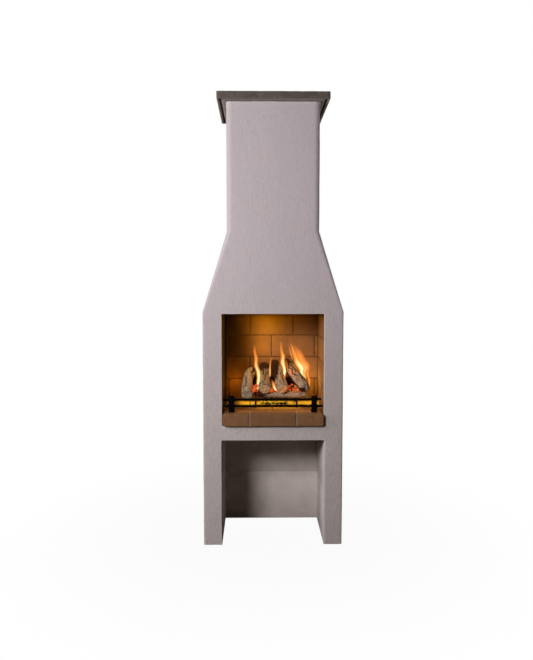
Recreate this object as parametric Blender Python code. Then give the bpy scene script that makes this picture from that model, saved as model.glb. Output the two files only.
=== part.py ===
"""Free-standing outdoor fireplace built from precast pumice modules.

Two U-shaped base courses make the legs of a wood store. A shelf slab carries
the firebricks, two U-shaped casing courses, a tapered hood and a square
chimney with an overhanging cap. A coat of render covers the outside. A guard
rail and a grate with logs stand loose in the firebox.

Metres, +Z up. The front faces -Y. The origin is on the ground under the
middle of the body.
"""

import math

import bmesh
import bpy
from mathutils import Matrix, Vector

# Clearance and overrun shared by every piece
SEAT_GAP = 0.0003
CUT_OVERRUN = 0.010

# Outside of the body, over the render
BODY_WIDTH = 0.700
BODY_DEPTH = 0.450
CHIMNEY_WIDTH = 0.450

# Render coat
RENDER_THICKNESS = 0.008
RENDER_CORNER_RADIUS = 0.009
RENDER_GROUND_GAP = 0.002

# Base courses and shelf slab
BASE_COURSES = 2
BASE_COURSE_HEIGHT = 0.268
LEG_THICKNESS = 0.085
BASE_BACK_THICKNESS = 0.047
SHELF_THICKNESS = 0.075

# Casing courses round the firebox
CASING_COURSES = 2
CASING_COURSE_HEIGHT = 0.279
CASING_WALL = 0.058

# Hood, from the top of the fire opening to the neck
HOOD_COURSES = 2
LINTEL_RISE = 0.010
HOOD_TAPER_HEIGHT = 0.396

# Chimney courses
CHIMNEY_COURSES = 3
CHIMNEY_COURSE_HEIGHT = 0.2075
FLUE_WIDTH = 0.250

# Cap slab with a drip groove cut into its underside
CAP_THICKNESS = 0.035
CAP_OVERHANG = 0.048
DRIP_EDGE_WIDTH = 0.013
DRIP_GROOVE_WIDTH = 0.010
DRIP_GROOVE_DEPTH = 0.008
CAP_EDGE_BEVEL = 0.003

# Ribs on top of each module, with grooves for them in the module above
RIB_WIDTH = 0.020
RIB_HEIGHT = 0.008
RIB_END_INSET = 0.060
RIB_CLEARANCE = 0.001

# Firebricks and their joints
BRICK_LENGTH = 0.230
BRICK_FACE_HEIGHT = 0.114
BRICK_THICKNESS = 0.064
BRICK_JOINT = 0.005
JOINT_RECESS = 0.003
LINING_THICKNESS = 0.030
LINING_BED = 0.008
LINING_TOP_CLEARANCE = 0.0106
HEARTH_PROJECTION = 0.020
HEARTH_END_RADIUS = 0.013
HEARTH_EDGE_BEVEL = 0.002

# Guard rail
GUARD_SETBACK = 0.022
GUARD_PLATE_WIDTH = 0.028
GUARD_PLATE_HEIGHT = 0.084
GUARD_PLATE_THICKNESS = 0.005
GUARD_PLATE_SIDE_GAP = 0.0324
GUARD_HORN_HEIGHT = 0.005
GUARD_HORN_WIDTH = 0.009
GUARD_FOOT_LENGTH = 0.060
GUARD_BAR_DIAMETER = 0.0115
GUARD_BAR_END_GAP = 0.0064
GUARD_BAR_SHIFT = 0.004
UPPER_BAR_HEIGHT = 0.0645
LOWER_BAR_HEIGHT = 0.0300

# Grate under the logs
GRATE_BAR_WIDTH = 0.010
GRATE_BAR_DEPTH = 0.010
GRATE_BARS = 7
GRATE_WIDTH = 0.330
GRATE_FRONT_SETBACK = 0.072
GRATE_BACK_CLEARANCE = 0.0314
GRATE_SIDE_SHIFT = 0.020
GRATE_TOP_HEIGHT = 0.059
GRATE_LEG_INSET = 0.075

# Logs
LOG_SIDES = 16
FRONT_LOG_RADIUS = 0.0155
FRONT_LOG_LENGTH = 0.250
FRONT_LOG_X = 0.048
FRONT_LOG_SETBACK = 0.048
BACK_LOG_RADIUS = 0.0435
BACK_LOG_LENGTH = 0.325
BACK_LOG_X = 0.0175
BACK_LOG_SETBACK = 0.047
LEANING_LOG_FRONT_SETBACK = 0.017
LEANING_LOG_BACK_REACH = 0.055
LEANING_LOG_THICK_RADIUS = 0.031
LEANING_LOG_THIN_RADIUS = 0.024
BIRCH_LOG_RADIUS = 0.030
BIRCH_LOG_FRONT_SETBACK = 0.028
BIRCH_LOG_BACK_REACH = 0.010
# Name, then X of the lower end and X of the upper end
LEANING_LOGS = (
    ("log_middle_left", -0.041, -0.044),
    ("log_middle_right", 0.050, 0.014),
    ("log_right", 0.158, 0.083),
)
BIRCH_LOG_LOWER_X = -0.128
BIRCH_LOG_UPPER_X = -0.108

# Bed of glowing charcoal on the grate, between the lying logs
EMBER_LEFT_X = -0.085
EMBER_RIGHT_X = 0.165
EMBER_FRONT_GAP = 0.004
EMBER_BACK_GAP = 0.010
EMBER_EDGE_HEIGHT = 0.009
EMBER_CROWN_HEIGHT = 0.022
EMBER_LUMP_HEIGHT = 0.006
EMBER_LUMP_PITCH = 0.031
EMBER_CELLS_ALONG = 16
EMBER_CELLS_ACROSS = 6

# Planes and levels that follow from the sizes above
FRONT_Y = -BODY_DEPTH / 2
BACK_Y = BODY_DEPTH / 2
CORE_SKIN = RENDER_THICKNESS + SEAT_GAP
CORE_WIDTH = BODY_WIDTH - 2 * CORE_SKIN
CORE_FRONT_Y = FRONT_Y + CORE_SKIN
CORE_BACK_Y = BACK_Y - CORE_SKIN
NECK_CORE_WIDTH = CHIMNEY_WIDTH - 2 * CORE_SKIN
NICHE_WIDTH = CORE_WIDTH - 2 * LEG_THICKNESS
CASING_INNER_WIDTH = CORE_WIDTH - 2 * CASING_WALL
CASING_BACK_Y = CORE_BACK_Y - CASING_WALL
LINING_OUTER_X = CASING_INNER_WIDTH / 2 - SEAT_GAP
OPENING_WIDTH = 2 * (LINING_OUTER_X - LINING_THICKNESS)
LINING_BACK_Y = CASING_BACK_Y - SEAT_GAP
FIREBOX_BACK_Y = LINING_BACK_Y - LINING_THICKNESS
BASE_TOP = BASE_COURSES * (BASE_COURSE_HEIGHT + SEAT_GAP)
SHELF_TOP = BASE_TOP + SHELF_THICKNESS
CASING_BOTTOM = SHELF_TOP + SEAT_GAP
HEARTH_TOP = CASING_BOTTOM + BRICK_THICKNESS
HOOD_BOTTOM = CASING_BOTTOM + CASING_COURSES * (CASING_COURSE_HEIGHT + SEAT_GAP)
SHOULDER_Z = HOOD_BOTTOM + LINTEL_RISE
NECK_Z = SHOULDER_Z + HOOD_TAPER_HEIGHT
CHIMNEY_TOP = NECK_Z + CHIMNEY_COURSES * (CHIMNEY_COURSE_HEIGHT + SEAT_GAP)
HEARTH_FRONT_Y = FRONT_Y - HEARTH_PROJECTION
BRICK_PITCH = BRICK_LENGTH + BRICK_JOINT
COURSE_PITCH = BRICK_FACE_HEIGHT + BRICK_JOINT
LINING_FOOT = HEARTH_TOP + LINING_BED
LINING_TOP = HOOD_BOTTOM - LINING_TOP_CLEARANCE
GRATE_FRONT_Y = FRONT_Y + GRATE_FRONT_SETBACK
GRATE_BACK_Y = FIREBOX_BACK_Y - GRATE_BACK_CLEARANCE
GRATE_TOP = HEARTH_TOP + GRATE_TOP_HEIGHT
FRONT_LOG_Y = GRATE_FRONT_Y + FRONT_LOG_SETBACK
BACK_LOG_Y = GRATE_BACK_Y - BACK_LOG_SETBACK

# Courses that a height or depth takes: a sliver under this share gets no row
SLIVER_SHARE = 0.02
LINING_COURSES = math.ceil((LINING_TOP - LINING_FOOT) / COURSE_PITCH - SLIVER_SHARE)
FLOOR_COURSES = math.ceil((LINING_BACK_Y - HEARTH_FRONT_Y) / COURSE_PITCH - SLIVER_SHARE)


def clear_scene():
    """Remove whatever objects the file holds."""
    for thing in list(bpy.data.objects):
        bpy.data.objects.remove(thing, do_unlink=True)


def make_material(name, colour, roughness, metallic=0.0):
    """Return a Principled material of one colour."""
    material = bpy.data.materials.new(name)
    material.use_nodes = True
    shader = material.node_tree.nodes["Principled BSDF"]
    shader.inputs["Base Color"].default_value = (*colour, 1.0)
    shader.inputs["Roughness"].default_value = roughness
    shader.inputs["Metallic"].default_value = metallic
    return material


def make_object(name, mesh_builder, material=None):
    """Turn a bmesh into a linked object whose faces point outwards."""
    bmesh.ops.recalc_face_normals(mesh_builder, faces=mesh_builder.faces)
    mesh = bpy.data.meshes.new(name)
    mesh_builder.to_mesh(mesh)
    mesh_builder.free()
    thing = bpy.data.objects.new(name, mesh)
    bpy.context.collection.objects.link(thing)
    if material:
        mesh.materials.append(material)
    return thing


def hide_helper(thing):
    """Keep a cutting or joining helper out of the finished part."""
    thing.hide_render = True
    thing.display_type = "WIRE"
    return thing


def add_boolean(thing, helper, operation):
    """Cut the helper from a piece, or join it on, with the exact solver."""
    modifier = thing.modifiers.new(helper.name, "BOOLEAN")
    modifier.operation = operation
    modifier.solver = "EXACT"
    modifier.object = hide_helper(helper)


def add_bevel(thing, width, segments):
    """Ease the sharp edges of a piece."""
    modifier = thing.modifiers.new("eased_edges", "BEVEL")
    modifier.width = width
    modifier.segments = segments
    modifier.limit_method = "ANGLE"
    modifier.harden_normals = False


def add_box(mesh_builder, low, high):
    """Add a box between two opposite corners to a bmesh."""
    centre = (Vector(low) + Vector(high)) / 2
    size = Vector(high) - Vector(low)
    matrix = Matrix.Translation(centre) @ Matrix.Diagonal((*size, 1.0))
    bmesh.ops.create_cube(mesh_builder, size=1.0, matrix=matrix)


def box_object(name, corners, material=None):
    """Return an object of one or more boxes, given as pairs of corners."""
    mesh_builder = bmesh.new()
    for low, high in corners:
        add_box(mesh_builder, low, high)
    return make_object(name, mesh_builder, material)


def extruded_outline(name, outline, offset, material=None):
    """Sweep a flat outline of 3D points straight along an offset."""
    mesh_builder = bmesh.new()
    face = mesh_builder.faces.new([mesh_builder.verts.new(point) for point in outline])
    swept = bmesh.ops.extrude_face_region(mesh_builder, geom=[face])
    moved = [item for item in swept["geom"] if isinstance(item, bmesh.types.BMVert)]
    bmesh.ops.translate(mesh_builder, verts=moved, vec=offset)
    return make_object(name, mesh_builder, material)


def rectangle(width, front_y, back_y, z):
    """Return the four corners of a level rectangle centred on X."""
    half = width / 2
    return [(-half, front_y, z), (half, front_y, z), (half, back_y, z), (-half, back_y, z)]


def rounded_rectangle(width, front_y, back_y, z, radius, steps=3):
    """Return a level rectangle centred on X with rounded corners."""
    half = width / 2
    centres = (
        (half - radius, back_y - radius),
        (-half + radius, back_y - radius),
        (-half + radius, front_y + radius),
        (half - radius, front_y + radius),
    )
    points = []
    for quarter, (x, y) in enumerate(centres):
        for step in range(steps + 1):
            angle = (quarter + step / steps) * math.pi / 2
            points.append((x + radius * math.cos(angle), y + radius * math.sin(angle), z))
    return points


def add_ring_walls(mesh_builder, rings):
    """Add a ring of vertices for each outline and the walls between them."""
    levels = [[mesh_builder.verts.new(point) for point in ring] for ring in rings]
    count = len(rings[0])
    for lower, upper in zip(levels, levels[1:]):
        for i in range(count):
            j = (i + 1) % count
            mesh_builder.faces.new((lower[i], lower[j], upper[j], upper[i]))
    return levels


def lofted_solid(name, rings, material=None):
    """Return a closed solid through rings of equal point count."""
    mesh_builder = bmesh.new()
    levels = add_ring_walls(mesh_builder, rings)
    mesh_builder.faces.new(levels[0])
    mesh_builder.faces.new(levels[-1])
    return make_object(name, mesh_builder, material)


def lofted_tube(name, outer_rings, inner_rings, material):
    """Return a tube between outer and inner rings, open at both ends."""
    mesh_builder = bmesh.new()
    outer = add_ring_walls(mesh_builder, outer_rings)
    inner = add_ring_walls(mesh_builder, inner_rings)
    count = len(outer_rings[0])
    for end in (0, -1):
        for i in range(count):
            j = (i + 1) % count
            corners = (outer[end][i], outer[end][j], inner[end][j], inner[end][i])
            mesh_builder.faces.new(corners)
    return make_object(name, mesh_builder, material)


def stepped_slab(name, u_edges, v_edges, heights, place, material):
    """Return a slab whose cells rise to different heights above one plane.

    heights[v][u] is the height of each cell, and 0 leaves the cell out.
    place(u, v, height) gives the point in space.
    """
    mesh_builder = bmesh.new()
    levels = sorted({0.0} | {height for row in heights for height in row})
    known = {}

    def vertex(u, v, level):
        key = (u, v, level)
        if key not in known:
            point = place(u_edges[u], v_edges[v], levels[level])
            known[key] = mesh_builder.verts.new(point)
        return known[key]

    def level_of(u, v):
        inside = 0 <= u < len(u_edges) - 1 and 0 <= v < len(v_edges) - 1
        return levels.index(heights[v][u]) if inside else 0

    for v in range(len(v_edges) - 1):
        for u in range(len(u_edges) - 1):
            top = level_of(u, v)
            if top == 0:
                continue
            corners = ((u, v), (u + 1, v), (u + 1, v + 1), (u, v + 1))
            for level in (0, top):
                mesh_builder.faces.new([vertex(a, b, level) for a, b in corners])
            neighbours = ((u, v - 1), (u + 1, v), (u, v + 1), (u - 1, v))
            for side, neighbour in enumerate(neighbours):
                start = corners[side]
                end = corners[(side + 1) % 4]
                for level in range(level_of(*neighbour), top):
                    wall = (
                        vertex(*start, level),
                        vertex(*end, level),
                        vertex(*end, level + 1),
                        vertex(*start, level + 1),
                    )
                    mesh_builder.faces.new(wall)
    return make_object(name, mesh_builder, material)


def round_bar(name, start, end, radii, sides, material):
    """Return a straight round bar or log between two points."""
    axis = Vector(end) - Vector(start)
    turn = axis.to_track_quat("Z", "Y").to_matrix().to_4x4()
    matrix = Matrix.Translation((Vector(start) + Vector(end)) / 2) @ turn
    mesh_builder = bmesh.new()
    bmesh.ops.create_cone(
        mesh_builder,
        cap_ends=True,
        segments=sides,
        radius1=radii[0],
        radius2=radii[1],
        depth=axis.length,
        matrix=matrix,
    )
    thing = make_object(name, mesh_builder, material)
    thing.data.shade_smooth()
    thing.data.set_sharp_from_angle(angle=math.radians(50))
    return thing


def rib_boxes(name, rib_x, z, clearance):
    """Return the pair of ribs, or with a clearance the grooves for them."""
    half = RIB_WIDTH / 2 + clearance
    front_y = CORE_FRONT_Y + RIB_END_INSET - clearance
    back_y = CORE_BACK_Y - RIB_END_INSET + clearance
    sunk = z - CUT_OVERRUN
    top = z + RIB_HEIGHT + clearance
    boxes = []
    for side in (-1, 1):
        x = side * rib_x
        boxes.append(((x - half, front_y, sunk), (x + half, back_y, top)))
    return box_object(name, boxes)


def add_ribs(module, rib_x, z):
    """Raise the two ribs on the top face of a module."""
    add_boolean(module, rib_boxes(module.name + "_ribs", rib_x, z, 0.0), "UNION")


def add_grooves(module, rib_x, z):
    """Cut the grooves that take the ribs of the module below."""
    grooves = rib_boxes(module.name + "_grooves", rib_x, z, RIB_CLEARANCE)
    add_boolean(module, grooves, "DIFFERENCE")


def u_module(name, inner_width, inner_back_y, bottom, height, material):
    """Return a U-shaped module that is open to the front."""
    outer = CORE_WIDTH / 2
    inner = inner_width / 2
    outline = [
        (-outer, CORE_FRONT_Y, bottom),
        (-inner, CORE_FRONT_Y, bottom),
        (-inner, inner_back_y, bottom),
        (inner, inner_back_y, bottom),
        (inner, CORE_FRONT_Y, bottom),
        (outer, CORE_FRONT_Y, bottom),
        (outer, CORE_BACK_Y, bottom),
        (-outer, CORE_BACK_Y, bottom),
    ]
    return extruded_outline(name, outline, (0, 0, height), material)


def build_base(material):
    """Build the base courses, whose legs frame the wood store."""
    inner_back_y = CORE_BACK_Y - BASE_BACK_THICKNESS
    rib_x = (CORE_WIDTH - LEG_THICKNESS) / 2
    for course in range(BASE_COURSES):
        bottom = course * (BASE_COURSE_HEIGHT + SEAT_GAP)
        name = f"base_module_{course + 1}"
        module = u_module(name, NICHE_WIDTH, inner_back_y, bottom, BASE_COURSE_HEIGHT, material)
        if course > 0:
            add_grooves(module, rib_x, bottom - SEAT_GAP)
        add_ribs(module, rib_x, bottom + BASE_COURSE_HEIGHT)


def build_shelf(material):
    """Build the slab that roofs the wood store and carries the fire."""
    corners = ((-CORE_WIDTH / 2, CORE_FRONT_Y, BASE_TOP), (CORE_WIDTH / 2, CORE_BACK_Y, SHELF_TOP))
    shelf = box_object("shelf_slab", [corners], material)
    add_grooves(shelf, (CORE_WIDTH - LEG_THICKNESS) / 2, BASE_TOP - SEAT_GAP)
    add_ribs(shelf, (CORE_WIDTH - CASING_WALL) / 2, SHELF_TOP)


def build_casing(material):
    """Build the U-shaped courses round the firebox."""
    rib_x = (CORE_WIDTH - CASING_WALL) / 2
    for course in range(CASING_COURSES):
        bottom = CASING_BOTTOM + course * (CASING_COURSE_HEIGHT + SEAT_GAP)
        name = f"casing_module_{course + 1}"
        module = u_module(
            name, CASING_INNER_WIDTH, CASING_BACK_Y, bottom, CASING_COURSE_HEIGHT, material
        )
        add_grooves(module, rib_x, bottom - SEAT_GAP)
        add_ribs(module, rib_x, bottom + CASING_COURSE_HEIGHT)


def hood_share(z):
    """Return how far up the taper a level lies, from 0 to 1."""
    return min(max((z - SHOULDER_Z) / HOOD_TAPER_HEIGHT, 0.0), 1.0)


def hood_outer_ring(z):
    """Return the outline of the hood's core at a level."""
    width = CORE_WIDTH + (NECK_CORE_WIDTH - CORE_WIDTH) * hood_share(z)
    return rectangle(width, CORE_FRONT_Y, CORE_BACK_Y, z)


def hood_inner_ring(z):
    """Return the outline of the smoke chamber at a level."""
    share = hood_share(z)
    width = CASING_INNER_WIDTH + (FLUE_WIDTH - CASING_INNER_WIDTH) * share
    front_y = CORE_FRONT_Y + CASING_WALL
    front_y += (-FLUE_WIDTH / 2 - front_y) * share
    back_y = CASING_BACK_Y + (FLUE_WIDTH / 2 - CASING_BACK_Y) * share
    return rectangle(width, front_y, back_y, z)


def wall_centre(outer_ring, inner_ring):
    """Return the distance from the middle to the centre of a side wall."""
    return (outer_ring[1][0] + inner_ring[1][0]) / 2


def build_hood(material):
    """Build the tapered hood modules over the fire opening."""
    course_height = (NECK_Z - HOOD_BOTTOM) / HOOD_COURSES
    for course in range(HOOD_COURSES):
        bottom = HOOD_BOTTOM + course * course_height
        top = bottom + course_height - SEAT_GAP
        levels = [bottom, top]
        if bottom < SHOULDER_Z < top:
            levels.insert(1, SHOULDER_Z)
        outer = [hood_outer_ring(z) for z in levels]
        inner = [hood_inner_ring(z) for z in levels]
        module = lofted_tube(f"hood_module_{course + 1}", outer, inner, material)
        if course == 0:
            add_grooves(module, (CORE_WIDTH - CASING_WALL) / 2, bottom - SEAT_GAP)
        else:
            joint = top - course_height
            rib_x = wall_centre(hood_outer_ring(joint), hood_inner_ring(joint))
            add_grooves(module, rib_x, joint)
        add_ribs(module, wall_centre(outer[-1], inner[-1]), top)


def build_chimney(material):
    """Build the square chimney modules."""
    neck_joint = NECK_Z - SEAT_GAP
    rib_x = wall_centre(hood_outer_ring(neck_joint), hood_inner_ring(neck_joint))
    for course in range(CHIMNEY_COURSES):
        bottom = NECK_Z + course * (CHIMNEY_COURSE_HEIGHT + SEAT_GAP)
        top = bottom + CHIMNEY_COURSE_HEIGHT
        outer = [rectangle(NECK_CORE_WIDTH, CORE_FRONT_Y, CORE_BACK_Y, z) for z in (bottom, top)]
        inner = [rectangle(FLUE_WIDTH, -FLUE_WIDTH / 2, FLUE_WIDTH / 2, z) for z in (bottom, top)]
        module = lofted_tube(f"chimney_module_{course + 1}", outer, inner, material)
        add_grooves(module, rib_x, bottom - SEAT_GAP)
        rib_x = wall_centre(outer[-1], inner[-1])
        add_ribs(module, rib_x, top)


def build_cap(material):
    """Build the overhanging cap slab with its flue hole and drip groove."""
    width = CHIMNEY_WIDTH + 2 * CAP_OVERHANG
    front_y = FRONT_Y - CAP_OVERHANG
    back_y = BACK_Y + CAP_OVERHANG
    top = CHIMNEY_TOP + CAP_THICKNESS
    rings = [rectangle(width, front_y, back_y, z) for z in (CHIMNEY_TOP, top)]
    cap = lofted_solid("cap_slab", rings, material)
    add_bevel(cap, CAP_EDGE_BEVEL, 1)
    flue = rectangle(FLUE_WIDTH, -FLUE_WIDTH / 2, FLUE_WIDTH / 2, CHIMNEY_TOP - CUT_OVERRUN)
    flue_hole = extruded_outline("cap_flue_hole", flue, (0, 0, CAP_THICKNESS + 2 * CUT_OVERRUN))
    add_boolean(cap, flue_hole, "DIFFERENCE")
    groove_levels = (CHIMNEY_TOP - CUT_OVERRUN, CHIMNEY_TOP + DRIP_GROOVE_DEPTH)
    insets = (DRIP_EDGE_WIDTH, DRIP_EDGE_WIDTH + DRIP_GROOVE_WIDTH)
    outer, inner = (
        [rectangle(width - 2 * inset, front_y + inset, back_y - inset, z) for z in groove_levels]
        for inset in insets
    )
    add_boolean(cap, lofted_tube("cap_drip_groove", outer, inner, None), "DIFFERENCE")
    chimney_wall_x = (NECK_CORE_WIDTH + FLUE_WIDTH) / 4
    add_grooves(cap, chimney_wall_x, CHIMNEY_TOP - SEAT_GAP)


def coat_ring(width, z):
    """Return the outline of the rendered outside at a level."""
    return rounded_rectangle(width, FRONT_Y, BACK_Y, z, RENDER_CORNER_RADIUS)


def build_render_coat(material):
    """Build the render that covers every module, open at fire and store."""
    coat_top = CHIMNEY_TOP - 2 * SEAT_GAP
    rings = [
        coat_ring(BODY_WIDTH, RENDER_GROUND_GAP),
        coat_ring(BODY_WIDTH, SHOULDER_Z),
        coat_ring(CHIMNEY_WIDTH, NECK_Z),
        coat_ring(CHIMNEY_WIDTH, coat_top),
    ]
    coat = lofted_solid("render_coat", rings, material)
    core_levels = (
        (BODY_WIDTH, -CUT_OVERRUN),
        (BODY_WIDTH, SHOULDER_Z),
        (CHIMNEY_WIDTH, NECK_Z),
        (CHIMNEY_WIDTH, CHIMNEY_TOP + CUT_OVERRUN),
    )
    core_rings = []
    for width, z in core_levels:
        inner_width = width - 2 * RENDER_THICKNESS
        front_y = FRONT_Y + RENDER_THICKNESS
        core_rings.append(rectangle(inner_width, front_y, BACK_Y - RENDER_THICKNESS, z))
    add_boolean(coat, lofted_solid("coat_core", core_rings), "DIFFERENCE")
    front_cut = FRONT_Y - CUT_OVERRUN
    back_cut = FRONT_Y + RENDER_THICKNESS + CUT_OVERRUN
    fire_half = OPENING_WIDTH / 2
    niche_half = NICHE_WIDTH / 2
    openings = [
        ((-fire_half, front_cut, SHELF_TOP), (fire_half, back_cut, HOOD_BOTTOM)),
        ((-niche_half, front_cut, -CUT_OVERRUN), (niche_half, back_cut, BASE_TOP)),
    ]
    add_boolean(coat, box_object("coat_openings", openings), "DIFFERENCE")


def joint_positions(low, high, first_joint):
    """Return the head joints between two ends, from the first joint on."""
    positions = []
    joint = first_joint
    while joint < high - BRICK_JOINT:
        if joint > low + BRICK_JOINT:
            positions.append(joint)
        joint += BRICK_PITCH
    return positions


def course_edges(low, high, joints):
    """Return the edges of bricks and joints along a course."""
    edges = [low]
    for joint in joints:
        edges.extend((joint - BRICK_JOINT / 2, joint + BRICK_JOINT / 2))
    edges.append(high)
    return edges


def brick_course(name, span, joints, rise, full, place, material):
    """Build one course of bricks with its head joints and bed joint.

    span and rise are the two ends along the course and across it. full is
    the thickness of the bricks. The joints lie back from their face.
    """
    u_edges = course_edges(span[0], span[1], joints)
    v_edges = [rise[0], rise[1] - BRICK_JOINT, rise[1]]
    recessed = full - JOINT_RECESS
    bricks = [full if i % 2 == 0 else recessed for i in range(len(u_edges) - 1)]
    bed = [recessed] * len(bricks)
    stepped_slab(name, u_edges, v_edges, [bricks, bed], place, material)


def place_back(u, v, height):
    """Map a course to the back wall, whose face looks forwards."""
    return (u, LINING_BACK_Y - height, v)


def place_left(u, v, height):
    """Map a course to the left wall, whose face looks to the right."""
    return (-LINING_OUTER_X + height, u, v)


def place_right(u, v, height):
    """Map a course to the right wall, whose face looks to the left."""
    return (LINING_OUTER_X - height, u, v)


def place_floor(u, v, height):
    """Map a course to the floor, whose face looks up."""
    return (u, v, CASING_BOTTOM + height)


def build_lining(material):
    """Build the brick courses of the back and side walls."""
    back_half = OPENING_WIDTH / 2 - SEAT_GAP
    side_front = CORE_FRONT_Y
    side_span = (side_front, LINING_BACK_Y)
    for course in range(LINING_COURSES):
        bottom = LINING_FOOT + course * COURSE_PITCH + SEAT_GAP
        top = min(bottom + COURSE_PITCH - SEAT_GAP, LINING_TOP)
        back_bottom = bottom if course else HEARTH_TOP + SEAT_GAP
        side_bottom = bottom if course else CASING_BOTTOM
        whole_row = course % 2 == 0
        offset = 0.0 if whole_row else BRICK_PITCH / 2
        back_joints = joint_positions(-back_half, back_half, offset - 2 * BRICK_PITCH)
        number = course + 1
        brick_course(
            f"back_brick_course_{number}",
            (-back_half, back_half),
            back_joints,
            (back_bottom, top),
            LINING_THICKNESS,
            place_back,
            material,
        )
        first_side_joint = side_front + (BRICK_PITCH if whole_row else BRICK_PITCH / 2)
        side_joints = joint_positions(side_front, FIREBOX_BACK_Y, first_side_joint)
        for side, place in (("left", place_left), ("right", place_right)):
            brick_course(
                f"{side}_brick_course_{number}",
                side_span,
                side_joints,
                (side_bottom, top),
                LINING_THICKNESS,
                place,
                material,
            )


def build_floor(material):
    """Build the floor courses behind the hearth bricks."""
    half = OPENING_WIDTH / 2 - SEAT_GAP
    for course in range(1, FLOOR_COURSES):
        front = HEARTH_FRONT_Y + course * COURSE_PITCH
        back = min(front + COURSE_PITCH - SEAT_GAP, LINING_BACK_Y)
        offset = 0.0 if course % 2 else BRICK_PITCH / 2
        joints = joint_positions(-half, half, offset - 2 * BRICK_PITCH)
        brick_course(
            f"floor_brick_course_{course + 1}",
            (-half, half),
            joints,
            (front, back),
            BRICK_THICKNESS,
            place_floor,
            material,
        )


def hearth_end_outline(inner_x, outer_x):
    """Return the front view of an end brick with its outer corners round."""
    side = 1 if outer_x > inner_x else -1
    bottom = CASING_BOTTOM
    radius = HEARTH_END_RADIUS
    steps = 4
    points = [(inner_x, HEARTH_TOP), (inner_x, bottom)]
    centre_x = outer_x - side * radius
    for centre_z, start in ((bottom + radius, -math.pi / 2), (HEARTH_TOP - radius, 0.0)):
        for step in range(steps + 1):
            angle = start + step / steps * math.pi / 2
            x = centre_x + side * radius * math.cos(angle)
            points.append((x, centre_z + radius * math.sin(angle)))
    return points


def build_hearth(brick_material, mortar_material):
    """Build the front row of hearth bricks and the joints between them."""
    end_x = OPENING_WIDTH / 2 - SEAT_GAP
    joint_x = BRICK_PITCH / 2
    inner_x = joint_x + BRICK_JOINT / 2
    front_y = HEARTH_FRONT_Y
    depth = BRICK_FACE_HEIGHT
    for name, side in (("hearth_brick_left", -1), ("hearth_brick_right", 1)):
        outline = hearth_end_outline(side * inner_x, side * end_x)
        points = [(x, front_y, z) for x, z in outline]
        brick = extruded_outline(name, points, (0, depth, 0), brick_material)
        add_bevel(brick, HEARTH_EDGE_BEVEL, 1)
    half = BRICK_LENGTH / 2
    middle = ((-half, front_y, CASING_BOTTOM), (half, front_y + depth, HEARTH_TOP))
    add_bevel(box_object("hearth_brick_middle", [middle], brick_material), HEARTH_EDGE_BEVEL, 1)
    joint_half = BRICK_JOINT / 2 - SEAT_GAP
    for name, x in (("hearth_joint_left", -joint_x), ("hearth_joint_right", joint_x)):
        low = (x - joint_half, front_y + JOINT_RECESS, CASING_BOTTOM)
        high = (x + joint_half, front_y + depth, HEARTH_TOP - JOINT_RECESS)
        box_object(name, [(low, high)], mortar_material)


def build_guard(material):
    """Build the guard rail: two upright plates with feet and two bars."""
    plate_front = FRONT_Y + GUARD_SETBACK
    plate_back = plate_front + GUARD_PLATE_THICKNESS
    bottom = HEARTH_TOP + SEAT_GAP
    top = bottom + GUARD_PLATE_HEIGHT
    for name, side in (("guard_plate_left", -1), ("guard_plate_right", 1)):
        outer_x = side * (OPENING_WIDTH / 2 - GUARD_PLATE_SIDE_GAP)
        inner_x = outer_x - side * GUARD_PLATE_WIDTH
        outline = [
            (inner_x, bottom),
            (outer_x, bottom),
            (outer_x, top + GUARD_HORN_HEIGHT),
            (outer_x - side * GUARD_HORN_WIDTH, top),
            (inner_x, top),
        ]
        points = [(x, plate_front, z) for x, z in outline]
        plate = extruded_outline(name, points, (0, GUARD_PLATE_THICKNESS, 0), material)
        foot_top = bottom + GUARD_PLATE_THICKNESS
        low = (min(inner_x, outer_x), plate_back - GUARD_PLATE_THICKNESS / 2, bottom)
        high = (max(inner_x, outer_x), plate_front + GUARD_FOOT_LENGTH, foot_top)
        add_boolean(plate, box_object(name + "_foot", [(low, high)]), "UNION")
    radius = GUARD_BAR_DIAMETER / 2
    y = plate_back + SEAT_GAP + radius
    half_length = OPENING_WIDTH / 2 - GUARD_BAR_END_GAP
    bars = (
        ("guard_bar_upper", UPPER_BAR_HEIGHT, -GUARD_BAR_SHIFT),
        ("guard_bar_lower", LOWER_BAR_HEIGHT, GUARD_BAR_SHIFT),
    )
    for name, height, shift in bars:
        z = bottom + height
        ends = [(shift + side * half_length, y, z) for side in (-1, 1)]
        round_bar(name, ends[0], ends[1], (radius, radius), LOG_SIDES, material)


def grate_edges(low, length, count):
    """Return the edges of evenly spaced bars across a length."""
    pitch = (length - GRATE_BAR_WIDTH) / (count - 1)
    edges = []
    for i in range(count):
        edges.extend((low + i * pitch, low + i * pitch + GRATE_BAR_WIDTH))
    return edges


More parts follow.
